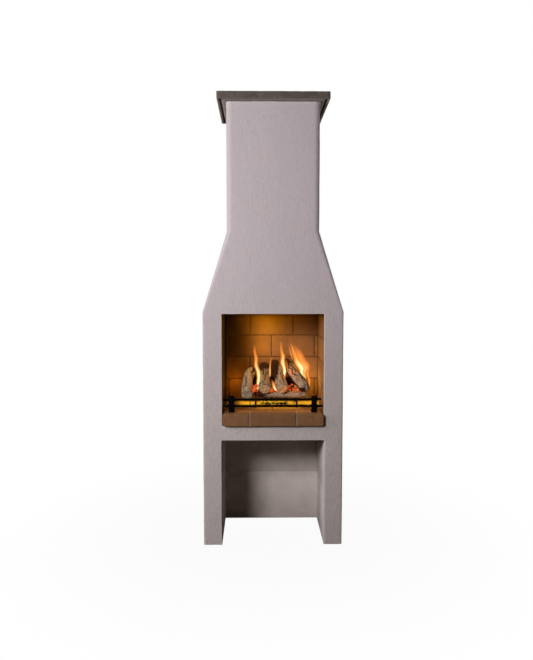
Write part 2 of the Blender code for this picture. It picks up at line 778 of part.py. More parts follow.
def build_grate(material):
    """Build the cast grate: two rails, cross bars and four legs."""
    left = GRATE_SIDE_SHIFT - GRATE_WIDTH / 2
    front = GRATE_FRONT_Y
    back = GRATE_BACK_Y
    leg_height = GRATE_TOP_HEIGHT - SEAT_GAP
    u_edges = grate_edges(left, GRATE_WIDTH, GRATE_BARS)
    v_edges = [
        front,
        front + GRATE_BAR_WIDTH,
        front + GRATE_LEG_INSET,
        front + GRATE_LEG_INSET + GRATE_BAR_WIDTH,
        back - GRATE_BAR_WIDTH,
        back,
    ]
    rail = [GRATE_BAR_DEPTH] * (2 * GRATE_BARS - 1)
    bars = [GRATE_BAR_DEPTH if i % 2 == 0 else 0.0 for i in range(len(rail))]
    front_legs = list(bars)
    back_legs = list(rail)
    for i in (2, len(rail) - 3):
        front_legs[i] = leg_height
        back_legs[i] = leg_height
    heights = [rail, bars, front_legs, bars, back_legs]
    stepped_slab(
        "log_grate",
        u_edges,
        v_edges,
        heights,
        lambda u, v, height: (u, v, GRATE_TOP - height),
        material,
    )


def lying_log(name, x, y, radius, length, material):
    """Lay a log on the grate, across the firebox."""
    z = GRATE_TOP + SEAT_GAP + radius
    ends = [(x + side * length / 2, y, z) for side in (-1, 1)]
    return round_bar(name, ends[0], ends[1], (radius, radius), LOG_SIDES, material)


def leaning_log(name, rest_y, rest_height, ends_x, ends_y, radii, material):
    """Lean a log from a front support over the back log.

    rest_y and rest_height place the front support: a lying log of that
    radius, or the grate itself at height 0. The underside of the leaning log
    touches both, so it rises at twice the angle between their centres.
    ends_y are the front and back end of that underside.
    """
    run = BACK_LOG_Y - rest_y
    underside = 2 * math.atan2(BACK_LOG_RADIUS - rest_height, run)
    normal = Vector((0, -math.sin(underside), math.cos(underside)))
    rise = Vector((0, math.cos(underside), math.sin(underside)))
    back_centre = Vector((0, BACK_LOG_Y, GRATE_TOP + SEAT_GAP + BACK_LOG_RADIUS))
    touch = back_centre + normal * (BACK_LOG_RADIUS + SEAT_GAP)
    centres = []
    for x, y, radius in zip(ends_x, ends_y, radii):
        edge = touch + rise * ((y - touch.y) / math.cos(underside))
        centre = edge + normal * radius
        centre.x = x
        centres.append(centre)
    return round_bar(name, centres[0], centres[1], radii, LOG_SIDES, material)


def build_logs(bark_material, birch_material):
    """Build the two lying logs and the four that lean on them."""
    lying_logs = (
        ("log_front", FRONT_LOG_X, FRONT_LOG_Y, FRONT_LOG_RADIUS, FRONT_LOG_LENGTH, birch_material),
        ("log_back", BACK_LOG_X, BACK_LOG_Y, BACK_LOG_RADIUS, BACK_LOG_LENGTH, bark_material),
    )
    for settings in lying_logs:
        lying_log(*settings)
    radii = (LEANING_LOG_THICK_RADIUS, LEANING_LOG_THIN_RADIUS)
    ends_y = (GRATE_FRONT_Y + LEANING_LOG_FRONT_SETBACK, BACK_LOG_Y + LEANING_LOG_BACK_REACH)
    for name, *ends_x in LEANING_LOGS:
        leaning_log(
            name, FRONT_LOG_Y, FRONT_LOG_RADIUS, ends_x, ends_y, radii, bark_material
        )
    birch_front_y = GRATE_FRONT_Y + BIRCH_LOG_FRONT_SETBACK
    leaning_log(
        "log_left",
        birch_front_y,
        0.0,
        (BIRCH_LOG_LOWER_X, BIRCH_LOG_UPPER_X),
        (birch_front_y, BACK_LOG_Y + BIRCH_LOG_BACK_REACH),
        (BIRCH_LOG_RADIUS, BIRCH_LOG_RADIUS),
        birch_material,
    )


def ember_height(along, across, x, y):
    """Return the height of the ember bed at a point of its plan.

    along and across run from 0 to 1 over the bed. The bed is low at its
    edges and crowned in the middle, with lumps of charcoal all over.
    """
    crown = math.sin(math.pi * along) ** 0.5 * math.sin(math.pi * across)
    turn = 2 * math.pi / EMBER_LUMP_PITCH
    lump = math.sin(turn * x + 2 * math.sin(turn * y)) * math.cos(turn * y)
    return EMBER_EDGE_HEIGHT + crown * (EMBER_CROWN_HEIGHT + EMBER_LUMP_HEIGHT * lump)


def build_embers(material):
    """Build the lumpy bed of charcoal as one closed solid on the grate."""
    bottom = GRATE_TOP + SEAT_GAP
    front_y = FRONT_LOG_Y + FRONT_LOG_RADIUS + EMBER_FRONT_GAP
    depth = BACK_LOG_Y - BACK_LOG_RADIUS - EMBER_BACK_GAP - front_y
    columns = EMBER_CELLS_ALONG + 1
    rows = EMBER_CELLS_ACROSS + 1
    mesh_builder = bmesh.new()
    top = []
    for row in range(rows):
        across = row / EMBER_CELLS_ACROSS
        y = front_y + across * depth
        line = []
        for column in range(columns):
            along = column / EMBER_CELLS_ALONG
            x = EMBER_LEFT_X + along * (EMBER_RIGHT_X - EMBER_LEFT_X)
            z = bottom + ember_height(along, across, x, y)
            line.append(mesh_builder.verts.new((x, y, z)))
        top.append(line)
    for row in range(rows - 1):
        for i in range(columns - 1):
            corners = (top[row][i], top[row][i + 1], top[row + 1][i + 1], top[row + 1][i])
            mesh_builder.faces.new(corners)
    rim = top[0] + [line[-1] for line in top[1:]]
    rim += top[-1][-2::-1] + [line[0] for line in top[-2:0:-1]]
    foot = [mesh_builder.verts.new((v.co.x, v.co.y, bottom)) for v in rim]
    for i, corner in enumerate(rim):
        j = (i + 1) % len(rim)
        mesh_builder.faces.new((corner, rim[j], foot[j], foot[i]))
    mesh_builder.faces.new(foot)
    make_object("ember_bed", mesh_builder, material)


def build():
    """Build the whole fireplace."""
    clear_scene()
    pumice = make_material("pumice_concrete", (0.48, 0.45, 0.43), 0.95)
    render = make_material("mineral_render", (0.53, 0.50, 0.50), 0.92)
    cap_stone = make_material("dark_cast_stone", (0.075, 0.065, 0.06), 0.9)
    firebrick = make_material("firebrick", (0.36, 0.19, 0.08), 0.85)
    mortar = make_material("hearth_mortar", (0.42, 0.36, 0.32), 0.95)
    black_steel = make_material("black_steel", (0.012, 0.012, 0.013), 0.55, 0.9)
    cast_iron = make_material("cast_iron", (0.03, 0.028, 0.027), 0.7, 0.9)
    bark = make_material("charred_bark", (0.16, 0.11, 0.08), 0.9)
    birch = make_material("birch_bark", (0.5, 0.42, 0.35), 0.85)
    ember = make_material("glowing_charcoal", (0.35, 0.06, 0.015), 0.9)
    build_base(pumice)
    build_shelf(pumice)
    build_casing(pumice)
    build_hood(pumice)
    build_chimney(pumice)
    build_cap(cap_stone)
    build_render_coat(render)
    build_lining(firebrick)
    build_floor(firebrick)
    build_hearth(firebrick, mortar)
    build_guard(black_steel)
    build_grate(cast_iron)
    build_logs(bark, birch)
    build_embers(ember)


build()
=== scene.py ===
"""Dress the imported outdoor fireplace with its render, brickwork, iron and fire.

Metres, +Z up, the front faces -Y, and the origin is on the ground under the
middle of the body. Sizes repeat those of the CAD model, which stays as it is.
"""

import logging
import math
from collections.abc import Callable, Sequence
from dataclasses import dataclass, field
from enum import Enum

import bmesh
import bpy
import numpy as np
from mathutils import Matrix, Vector


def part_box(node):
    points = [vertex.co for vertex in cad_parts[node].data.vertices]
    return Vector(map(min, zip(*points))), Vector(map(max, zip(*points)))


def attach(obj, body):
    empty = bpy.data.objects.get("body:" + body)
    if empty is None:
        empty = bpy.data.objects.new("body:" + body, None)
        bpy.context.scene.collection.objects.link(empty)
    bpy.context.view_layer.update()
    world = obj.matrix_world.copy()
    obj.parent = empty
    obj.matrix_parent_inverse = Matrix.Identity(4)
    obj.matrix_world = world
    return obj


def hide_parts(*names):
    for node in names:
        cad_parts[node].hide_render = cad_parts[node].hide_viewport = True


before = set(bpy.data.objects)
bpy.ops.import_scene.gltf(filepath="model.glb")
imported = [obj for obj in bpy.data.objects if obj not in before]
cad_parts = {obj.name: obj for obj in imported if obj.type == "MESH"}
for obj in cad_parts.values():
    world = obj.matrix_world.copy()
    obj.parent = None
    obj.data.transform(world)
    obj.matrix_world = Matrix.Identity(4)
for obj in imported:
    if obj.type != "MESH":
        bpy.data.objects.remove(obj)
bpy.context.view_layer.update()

LOG = logging.getLogger("fireplace")
MM = 0.001
FULL_TURN = 2 * math.pi
# For copies of CAD shapes: points closer than this are one, in metres, and the
# angles under which faces join, over which edges are eased and drawn sharp.
MERGED = 1e-6
FLAT_DEGREES = 1
EASED_DEGREES = 25
CREASE_DEGREES = 40
NOISE_INPUTS = ("Vector", "Scale", "Detail", "Roughness")
RAMP_INPUTS = ("Value", "From Min", "From Max", "To Max")
Point = tuple[float, float, float]
Face = tuple[int, ...]
Span = tuple[float, float]
Colour = tuple[float, float, float, float]
Piece = bpy.types.Object
Finish = bpy.types.Material
Tree = bpy.types.NodeTree
Source = bpy.types.Node | bpy.types.NodeSocket
Paint = Source | Colour


class Body(str, Enum):
    """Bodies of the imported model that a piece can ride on."""

    FIREPLACE = "fireplace"
    GUARD = "guard_rail"
    FIRE = "fire"


class Slot(str, Enum):
    """Material slots of the record."""

    PUMICE = "pumice_concrete"
    RENDER = "mineral_render"
    STONE = "cast_stone"
    BRICK = "firebrick"
    MORTAR = "hearth_mortar"
    STEEL = "black_steel"
    IRON = "cast_iron"
    CHARRED = "charred_bark"
    BIRCH = "birch_bark"
    EMBERS = "embers"


class Wall(Enum):
    """Faces of the firebox that carry brick courses."""

    BACK = "back"
    LEFT = "left"
    RIGHT = "right"
    FLOOR = "floor"


class Node(Enum):
    """Kinds of node that the finishes and the studio are made of."""

    PLACE = "ShaderNodeTexCoord"
    MAPPING = "ShaderNodeMapping"
    SPLIT = "ShaderNodeSeparateXYZ"
    NOISE = "ShaderNodeTexNoise"
    CELLS = "ShaderNodeTexVoronoi"
    VALUES = "ShaderNodeAttribute"
    RAMP = "ShaderNodeMapRange"
    MIX = "ShaderNodeMix"
    MATH = "ShaderNodeMath"
    VECTOR = "ShaderNodeVectorMath"
    RAY = "ShaderNodeLightPath"
    BUMP = "ShaderNodeBump"
    SOLID = "ShaderNodeBsdfPrincipled"
    PAPER = "ShaderNodeBsdfDiffuse"
    LIGHT = "ShaderNodeEmission"
    CLEAR = "ShaderNodeBsdfTransparent"
    BLEND = "ShaderNodeMixShader"
    SKY = "ShaderNodeBackground"
    OUTPUT = "ShaderNodeOutputMaterial"
    SKY_OUTPUT = "ShaderNodeOutputWorld"


def srgb(code: str) -> Colour:
    """Turn an sRGB hex colour into linear values.

    Args:
        code: colour such as "#aabbcc".

    Returns:
        Linear red, green and blue, with an alpha of 1.
    """
    channels = [int(code[i : i + 2], 16) / 255 for i in (1, 3, 5)]
    linear = [c / 12.92 if c <= 0.04045 else ((c + 0.055) / 1.055) ** 2.4 for c in channels]
    return (linear[0], linear[1], linear[2], 1.0)


def per_metre(size_mm: float) -> float:
    """Return the scale of a pattern from the size of its grain in mm."""
    return 1 / (size_mm * MM)


def smooth(low: float, high: float, values: np.ndarray) -> np.ndarray:
    """Ease values from 0 at low to 1 at high.

    Args:
        low: value that gives 0.
        high: value that gives 1.
        values: numbers to ease.

    Returns:
        Array of the same shape between 0 and 1.
    """
    share = np.clip((values - low) / (high - low), 0.0, 1.0)
    return share * share * (3 - 2 * share)


def add_node(
    tree: Tree, kind: Node, inputs: dict[str | int, object] | None = None, **settings: object
) -> bpy.types.Node:
    """Add a node with its settings and links.

    Args:
        tree: node tree that takes the node.
        kind: kind of node.
        inputs: for each input a plain value, an output socket, or a node
            whose first output in use is linked.
        settings: properties of the node.

    Returns:
        The new node.
    """
    node = tree.nodes.new(kind.value)
    for name, value in settings.items():
        setattr(node, name, value)
    for socket, value in (inputs or {}).items():
        if isinstance(value, bpy.types.Node):
            value = next(output for output in value.outputs if output.enabled)
        if isinstance(value, bpy.types.NodeSocket):
            tree.links.new(value, node.inputs[socket])
        else:
            node.inputs[socket].default_value = value
    return node


def new_tree(name: str) -> tuple[Finish, Tree]:
    """Start an empty node material.

    Args:
        name: name of the material.

    Returns:
        The material and its node tree.
    """
    material = bpy.data.materials.new(name)
    material.use_nodes = True
    material.node_tree.nodes.clear()
    return material, material.node_tree


class Noise:
    """Smooth seeded noise between -1 and 1 on a repeating lattice."""

    CELLS = 32

    def __init__(self, seed: int) -> None:
        """Draw the lattice values for a seed."""
        draw = np.random.RandomState(seed)
        self.values = draw.uniform(-1.0, 1.0, (self.CELLS, self.CELLS, self.CELLS))

    def at(self, points: np.ndarray, size: float | Sequence[float]) -> np.ndarray:
        """Sample the noise.

        Args:
            points: positions, one per row.
            size: width of one lump in metres, for all axes or for each.

        Returns:
            One value per position.
        """
        scaled = np.asarray(points, float) / np.asarray(size, float)
        base = np.floor(scaled).astype(int)
        share = smooth(0, 1, scaled - base)
        total = np.zeros(len(scaled))
        for corner in range(8):
            step = np.array([corner & 1, corner >> 1 & 1, corner >> 2 & 1])
            weight = np.where(step == 1, share, 1 - share).prod(axis=1)
            cell = (base + step) % self.CELLS
            total += weight * self.values[cell[:, 0], cell[:, 1], cell[:, 2]]
        return total


@dataclass(frozen=True)
class Wear:
    """Unevenness of a face: its depth, the width of its lumps and its seed."""

    depth: float
    size: float | Point
    seed: int


@dataclass
class Skin:
    """Vertices, faces and per-vertex values of a mesh that is being built."""

    points: np.ndarray
    faces: list[Face]
    values: dict[str, np.ndarray] = field(default_factory=dict)

    def valued(self, **numbers: np.ndarray | float) -> "Skin":
        """Store a value for each vertex under each name.

        Args:
            numbers: values of the vertices, or one value for all of them.

        Returns:
            The skin itself.
        """
        for name, number in numbers.items():
            self.values[name] = np.broadcast_to(number, (len(self.points),)).astype(float)
        return self


def joined(skins: Sequence[Skin]) -> Skin:
    """Join skins that carry the same values into one.

    Args:
        skins: the skins, in order.

    Returns:
        One skin with all their faces.
    """
    faces: list[Face] = []
    start = 0
    for skin in skins:
        faces.extend(tuple(int(i) + start for i in face) for face in skin.faces)
        start += len(skin.points)
    points = np.concatenate([skin.points for skin in skins])
    names = skins[0].values
    values = {name: np.concatenate([skin.values[name] for skin in skins]) for name in names}
    return Skin(points, faces, values)


def linked(data: bpy.types.ID) -> Piece:
    """Put a mesh, a lamp or a camera into the scene.

    Args:
        data: what the new object shows, which also gives its name.

    Returns:
        The new object.
    """
    thing = bpy.data.objects.new(data.name, data)
    bpy.context.scene.collection.objects.link(thing)
    return thing


def shaded(mesh: bpy.types.Mesh, material: Finish, crease: float) -> Piece:
    """Give a mesh its finish and put it into the scene as a piece.

    Args:
        mesh: mesh of the piece.
        material: finish of the piece.
        crease: angle in degrees over which an edge is drawn sharp.

    Returns:
        The new object.
    """
    mesh.materials.append(material)
    mesh.shade_smooth()
    mesh.set_sharp_from_angle(angle=math.radians(crease))
    return linked(mesh)


def make_piece(name: str, skin: Skin, material: Finish, crease: float) -> Piece:
    """Turn a skin into a linked object with its faces outwards.

    Args:
        name: name of the piece.
        skin: closed mesh data.
        material: finish of the piece.
        crease: angle in degrees over which an edge is drawn sharp.

    Returns:
        The new object.
    """
    used = np.unique(np.concatenate([np.asarray(face) for face in skin.faces]))
    index = np.full(len(skin.points), -1)
    index[used] = np.arange(len(used))
    mesh = bpy.data.meshes.new(name)
    faces = [tuple(int(index[i]) for i in face) for face in skin.faces]
    mesh.from_pydata(skin.points[used].tolist(), [], faces)
    for label, numbers in skin.values.items():
        attribute = mesh.attributes.new(label, "FLOAT", "POINT")
        attribute.data.foreach_set("value", numbers[used].astype(np.float32))
    builder = bmesh.new()
    builder.from_mesh(mesh)
    bmesh.ops.recalc_face_normals(builder, faces=builder.faces)
    builder.to_mesh(mesh)
    builder.free()
    return shaded(mesh, material, crease)


def roughen(piece: Piece, wears: Sequence[Wear], shift: int = 0, share: str | None = None) -> None:
    """Sink the surface of a piece unevenly along its normals.

    Args:
        piece: mesh object to change.
        wears: how uneven it gets, one after the other.
        shift: number that is added to each seed.
        share: name of the vertex values that scale the sink, if any.
    """
    mesh = piece.data
    count = len(mesh.vertices)
    for wear in wears:
        points = np.empty(count * 3, np.float32)
        normals = np.empty(count * 3, np.float32)
        mesh.vertices.foreach_get("co", points)
        mesh.vertex_normals.foreach_get("vector", normals)
        points = points.reshape(-1, 3)
        noise = Noise(wear.seed + shift)
        sink = wear.depth * (0.5 + 0.5 * noise.at(points, wear.size))
        if share:
            scale = np.empty(count, np.float32)
            mesh.attributes[share].data.foreach_get("value", scale)
            sink = sink * scale
        points = points - normals.reshape(-1, 3) * sink[:, None]
        mesh.vertices.foreach_set("co", points.astype(np.float32).ravel())
        mesh.update()


def install(piece: Piece, body: Body, slot: Slot, *nodes: str) -> None:
    """Let a piece ride on its body and stand for its CAD nodes.

    Args:
        piece: finished object.
        body: body that it rides on.
        slot: slot that its finish comes from; not used.
        nodes: CAD nodes that it replaces.
    """
    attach(piece, body.value)
    if nodes:
        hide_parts(*nodes)
    LOG.info("%s rides on %s, %d vertices", piece.name, body.value, len(piece.data.vertices))


def stops(low: float, high: float, edge: float, cell: float) -> np.ndarray:
    """Return grid lines along one axis of a block.

    Args:
        low: lower end.
        high: upper end.
        edge: width of the rounding at each end.
        cell: widest step between the roundings.

    Returns:
        Rising positions, with extra lines inside the roundings.
    """
    count = max(1, math.ceil((high - low - 2 * edge) / cell))
    middle = np.linspace(low + edge, high - edge, count + 1)
    ends = np.array([0.0, 0.4]) * edge
    return np.concatenate([low + ends, middle, high - ends[::-1]])


def block(low: Sequence[float], high: Sequence[float], edge: float, cell: float) -> Skin:
    """Return a closed block with rounded edges and an even grid of faces.

    Args:
        low: lowest corner.
        high: highest corner.
        edge: radius of the rounding.
        cell: widest step of the grid.

    Returns:
        The skin of the block.
    """
    lines = [stops(low[i], high[i], edge, cell) for i in range(3)]
    surface = np.ones([len(line) for line in lines], bool)
    surface[1:-1, 1:-1, 1:-1] = False
    index = np.full(surface.shape, -1)
    index[surface] = np.arange(surface.sum())
    points = np.stack(np.meshgrid(*lines, indexing="ij"), -1)[surface]
    core = np.clip(points, np.asarray(low) + edge, np.asarray(high) - edge)
    reach = points - core
    length = np.linalg.norm(reach, axis=1)
    length[length == 0] = 1.0
    points = core + reach / length[:, None] * edge
    faces: list[Face] = []
    for axis in range(3):
        for side in (0, -1):
            layer = index.take(side, axis=axis)
            corners = (layer[:-1, :-1], layer[1:, :-1], layer[1:, 1:], layer[:-1, 1:])
            faces.extend(map(tuple, np.stack(corners, -1).reshape(-1, 4)))
    return Skin(points, faces)


def ring_tube(rings: np.ndarray) -> Skin:
    """Close a run of equal rings into a solid.

    Args:
        rings: array of rings, points and coordinates.

    Returns:
        Walls between the rings and a face over each end.
    """
    count, sides = rings.shape[:2]
    index = np.arange(count * sides).reshape(count, sides)
    after = np.roll(index, -1, axis=1)
    corners = (index[:-1], after[:-1], after[1:], index[1:])
    faces = list(map(tuple, np.stack(corners, -1).reshape(-1, 4)))
    faces.append(tuple(index[0]))
    faces.append(tuple(index[-1]))
    return Skin(rings.reshape(-1, 3), faces)


def smooth_path(points: Sequence[Sequence[float]], steps: int) -> np.ndarray:
    """Run a smooth curve through points.

    Args:
        points: control values, one row each.
        steps: samples between two control rows.

    Returns:
        Samples of the curve, one per row.
    """
    rows = np.asarray(points, float)
    rows = np.vstack([2 * rows[0] - rows[1], rows, 2 * rows[-1] - rows[-2]])
    samples = []
    for i in range(1, len(rows) - 2):
        before, start, end, after = rows[i - 1 : i + 3]
        for t in np.linspace(0, 1, steps, endpoint=False):
            bend = (2 * before - 5 * start + 4 * end - after) * t**2
            turn = (3 * start - before - 3 * end + after) * t**3
            samples.append(0.5 * (2 * start + (end - before) * t + bend + turn))
    samples.append(rows[-2])
    return np.array(samples)


def eased_copy(node: str, name: str, width: float, material: Finish) -> Piece:
    """Copy a CAD node's shape into a new piece with eased edges.

    Args:
        node: CAD node to copy.
        name: name of the new piece.
        width: width of the eased edges in metres.
        material: finish of the piece.

    Returns:
        The new piece.
    """
    builder = bmesh.new()
    builder.from_mesh(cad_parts[node].data)
    bmesh.ops.remove_doubles(builder, verts=builder.verts, dist=MERGED)
    flat, bent = math.radians(FLAT_DEGREES), math.radians(EASED_DEGREES)
    bmesh.ops.dissolve_limit(builder, angle_limit=flat, verts=builder.verts, edges=builder.edges)
    sharp = [edge for edge in builder.edges if edge.is_manifold and edge.calc_face_angle() > bent]
    bmesh.ops.bevel(
        builder, geom=sharp, offset=width, segments=2, profile=0.5, affect="EDGES", clamp_overlap=True
    )
    mesh = bpy.data.meshes.new(name)
    builder.to_mesh(mesh)
    builder.free()
    return shaded(mesh, material, CREASE_DEGREES)


def surface(
    tree: Tree,
    colour: Paint,
    roughness: float,
    height: Source,
    relief_mm: float,
    specular: float = 0.2,
    metallic: float = 0.0,
    shine: dict[str, Source] | None = None,
) -> None:
    """Close a material with its shader, relief and output.

    Args:
        tree: node tree of the material.
        colour: colour of the surface, or the node or socket that gives it.
        roughness: roughness of the surface.
        height: node or socket that gives the relief from 0 to 1.
        relief_mm: height of the relief in millimetres.
        specular: specular level of the shader.
        metallic: metallic share of the shader.
        shine: colour and strength of the light that the surface gives, if any.
    """
    relief = {"Height": height, "Distance": relief_mm * MM, "Strength": 1.0}
    looks = {"Base Color": colour, "Roughness": roughness, "Metallic": metallic}
    looks |= {"Specular IOR Level": specular, "Normal": add_node(tree, Node.BUMP, relief)}
    looks |= shine or {}
    add_node(tree, Node.OUTPUT, {"Surface": add_node(tree, Node.SOLID, looks)})


@dataclass(frozen=True)
class BrushedRender:
    """Mineral render, brushed downwards with a wide brush while wet.

    The eye gets a chalky matt skin with short upright brush marks, deeper on
    the legs than on the chimney, faint pinkish clouds where it dried
    unevenly and paler arrises round the openings and along the top.
    """

    name: str = "mineral_render_brushed"
    ground: str = "#b5aaae"
    ground_low: str = "#b8adab"
    pink: str = "#bba8ad"
    grey: str = "#9f9699"
    # Paler tone of the arrises round the openings and along the top of the coat.
    arris_pale: str = "#c3b8bb"
    roughness: float = 0.93
    cloud_mm: float = 110.0
    brush_width_mm: float = 5.0
    brush_length_mm: float = 24.0
    grain_mm: float = 2.5
    relief_mm: float = 1.4
    low_span: Span = (1.35, 0.5)
    pink_span: Span = (0.56, 0.8)
    streak_span: Span = (0.48, 0.72)
    streak_high: float = 0.42
    streak_more_low: float = 0.38
    grain_share: float = 0.35

    def material(self) -> Finish:
        """Build the node material of the render.

        Returns:
            The finished material.
        """
        material, tree = new_tree(self.name)
        place = add_node(tree, Node.PLACE).outputs["Object"]
        across, along = per_metre(self.brush_width_mm), per_metre(self.brush_length_mm)
        combed = add_node(tree, Node.MAPPING, {"Vector": place, "Scale": (across, across, along)})
        noises = (
            (combed, 1.0, 3.0),
            (place, per_metre(self.cloud_mm), 3.0),
            (place, per_metre(self.grain_mm), 2.0),
        )
        brush, cloud, grain = (
            add_node(tree, Node.NOISE, dict(zip(NOISE_INPUTS, row))) for row in noises
        )
        level = add_node(tree, Node.SPLIT, {"Vector": place}).outputs["Z"]
        low = add_node(tree, Node.RAMP, dict(zip(RAMP_INPUTS, (level, *self.low_span))))
        deeper = {0: low, 1: self.streak_more_low, 2: self.streak_high}
        depth = add_node(tree, Node.MATH, deeper, operation="MULTIPLY_ADD")
        pinkness, streaked = (
            add_node(tree, Node.RAMP, dict(zip(RAMP_INPUTS, (value, *span, top))))
            for value, span, top in ((cloud, self.pink_span, 1.0), (brush, self.streak_span, depth))
        )
        arris = add_node(tree, Node.VALUES, attribute_name="arris").outputs["Fac"]
        colour: Paint = srgb(self.ground)
        for share, over in (
            (low, self.ground_low),
            (pinkness, self.pink),
            (streaked, self.grey),
            (arris, self.arris_pale),
        ):
            colour = add_node(tree, Node.MIX, {0: share, 6: colour, 7: srgb(over)}, data_type="RGBA")
        height = add_node(tree, Node.MIX, {0: self.grain_share, 2: brush, 3: grain}, data_type="FLOAT")
        surface(tree, colour, self.roughness, height, self.relief_mm)
        return material


@dataclass(frozen=True)
class MouldedStone:
    """Light or dark concrete, cast in a mould, with its grit showing.

    The eye gets a dull body with pale and dark grains of grit, small pits
    where air stood in the mould, and a paler underside that is painted light.
    """

    name: str
    body: str
    grit: str
    stain: str
    # Pale tone painted on the cap's underside as light.
    bloom: str = "#b5aaa2"
    roughness: float = 0.95
    grit_mm: float = 3.0
    grit_share: float = 0.3
    sparse_scale: float = 2.2
    stain_mm: float = 90.0
    pit_mm: float = 6.0
    relief_mm: float = 0.8
    stain_span: Span = (0.42, 0.66)
    grit_relief: float = 0.3

    def material(self) -> Finish:
        """Build the node material of the stone.

        Returns:
            The finished material.
        """
        material, tree = new_tree(self.name)
        place = add_node(tree, Node.PLACE).outputs["Object"]
        grit = add_node(tree, Node.CELLS, {"Vector": place, "Scale": per_metre(self.grit_mm)})
        sparse_mm = self.grit_mm * self.sparse_scale
        noises = ((sparse_mm, 2.0, 0.5), (self.stain_mm, 5.0, 0.6), (self.pit_mm, 4.0, 0.65))
        sparse, stain, pits = (
            add_node(tree, Node.NOISE, dict(zip(NOISE_INPUTS, (place, per_metre(size), *kind))))
            for size, *kind in noises
        )
        grit_span = (0.72 - self.grit_share * 0.4, 0.78 - self.grit_share * 0.3)
        shown, stained = (
            add_node(tree, Node.RAMP, dict(zip(RAMP_INPUTS, (value, *span))))
            for value, span in ((sparse, grit_span), (stain, self.stain_span))
        )
        bloom = add_node(tree, Node.VALUES, attribute_name="bloom").outputs["Fac"]
        colour: Paint = srgb(self.body)
        for share, over in ((stained, self.stain), (shown, self.grit), (bloom, self.bloom)):
            colour = add_node(tree, Node.MIX, {0: share, 6: colour, 7: srgb(over)}, data_type="RGBA")
        height = add_node(tree, Node.MIX, {0: self.grit_relief, 2: pits, 3: grit}, data_type="FLOAT")
        surface(tree, colour, self.roughness, height, self.relief_mm)
        return material


@dataclass(frozen=True)
class Firebrick:
    """Chamotte firebrick, pressed and fired, then used in a wood fire.

    The eye gets a dry sandy brown face with a fine grain, dark iron spots,
    a tone of its own for each brick, and soot mixed with painted shade where
    the firebox lies in shadow.
    """

    name: str = "firebrick_pressed_chamotte"
    clay: str = "#765235"
    pale: str = "#866040"
    burnt: str = "#69472c"
    spot: str = "#4a3322"
    # Dark brown for soot, also used as painted shade in the firebox.
    soot: str = "#22150c"
    roughness: float = 0.9
    mottle_mm: float = 28.0
    grain_mm: float = 2.0
    spot_mm: float = 9.0
    relief_mm: float = 0.6
    mottle_span: Span = (0.35, 0.68)
    spot_span: Span = (0.2, 0.1)
    spot_depth: float = 0.6
    grain_share: float = 0.5

    def material(self) -> Finish:
        """Build the node material of the brick.

        Returns:
            The finished material.
        """
        material, tree = new_tree(self.name)
        place = add_node(tree, Node.PLACE).outputs["Object"]
        mottle, grain = (
            add_node(tree, Node.NOISE, dict(zip(NOISE_INPUTS, (place, per_metre(size), *kind))))
            for size, *kind in ((self.mottle_mm, 5.0, 0.6), (self.grain_mm, 2.0, 0.5))
        )
        spots = add_node(tree, Node.CELLS, {"Vector": place, "Scale": per_metre(self.spot_mm)})
        mottled, spotted = (
            add_node(tree, Node.RAMP, dict(zip(RAMP_INPUTS, (value, *span, top))))
            for value, span, top in (
                (mottle, self.mottle_span, 1.0),
                (spots, self.spot_span, self.spot_depth),
            )
        )
        tone, soot = (
            add_node(tree, Node.VALUES, attribute_name=name).outputs["Fac"]
            for name in ("tone", "soot")
        )
        colour: Paint = srgb(self.pale)
        for share, over in (
            (mottled, self.clay),
            (tone, self.burnt),
            (spotted, self.spot),
            (soot, self.soot),
        ):
            colour = add_node(tree, Node.MIX, {0: share, 6: colour, 7: srgb(over)}, data_type="RGBA")
        height = add_node(tree, Node.MIX, {0: self.grain_share, 2: mottle, 3: grain}, data_type="FLOAT")
        surface(tree, colour, self.roughness, height, self.relief_mm)
        return material


@dataclass(frozen=True)
class FineGrain:
    """A matt surface of one colour with a finer second tone and grain.

    Fire mortar, struck back in the joint, shows sandy grain and soot; black
    stove paint on steel shows a faint orange peel and rubbed spots; sand cast
    iron shows its skin of grains and a brown bloom.
    """

    name: str
    ground: str
    second: str
    roughness: float
    metallic: float
    specular: float
    patch_mm: float
    grain_mm: float
    relief_mm: float
    patch_span: Span = (0.45, 0.7)

    def material(self) -> Finish:
        """Build the node material.

        Returns:
            The finished material.
        """
        material, tree = new_tree(self.name)
        place = add_node(tree, Node.PLACE).outputs["Object"]
        patch, grain = (
            add_node(tree, Node.NOISE, dict(zip(NOISE_INPUTS, (place, per_metre(size), *kind))))
            for size, *kind in ((self.patch_mm, 5.0, 0.65), (self.grain_mm, 2.0, 0.5))
        )
        patched = add_node(tree, Node.RAMP, dict(zip(RAMP_INPUTS, (patch, *self.patch_span))))
        tones = {0: patched, 6: srgb(self.ground), 7: srgb(self.second)}
        colour = add_node(tree, Node.MIX, tones, data_type="RGBA")
        surface(tree, colour, self.roughness, grain, self.relief_mm, self.specular, self.metallic)
        return material


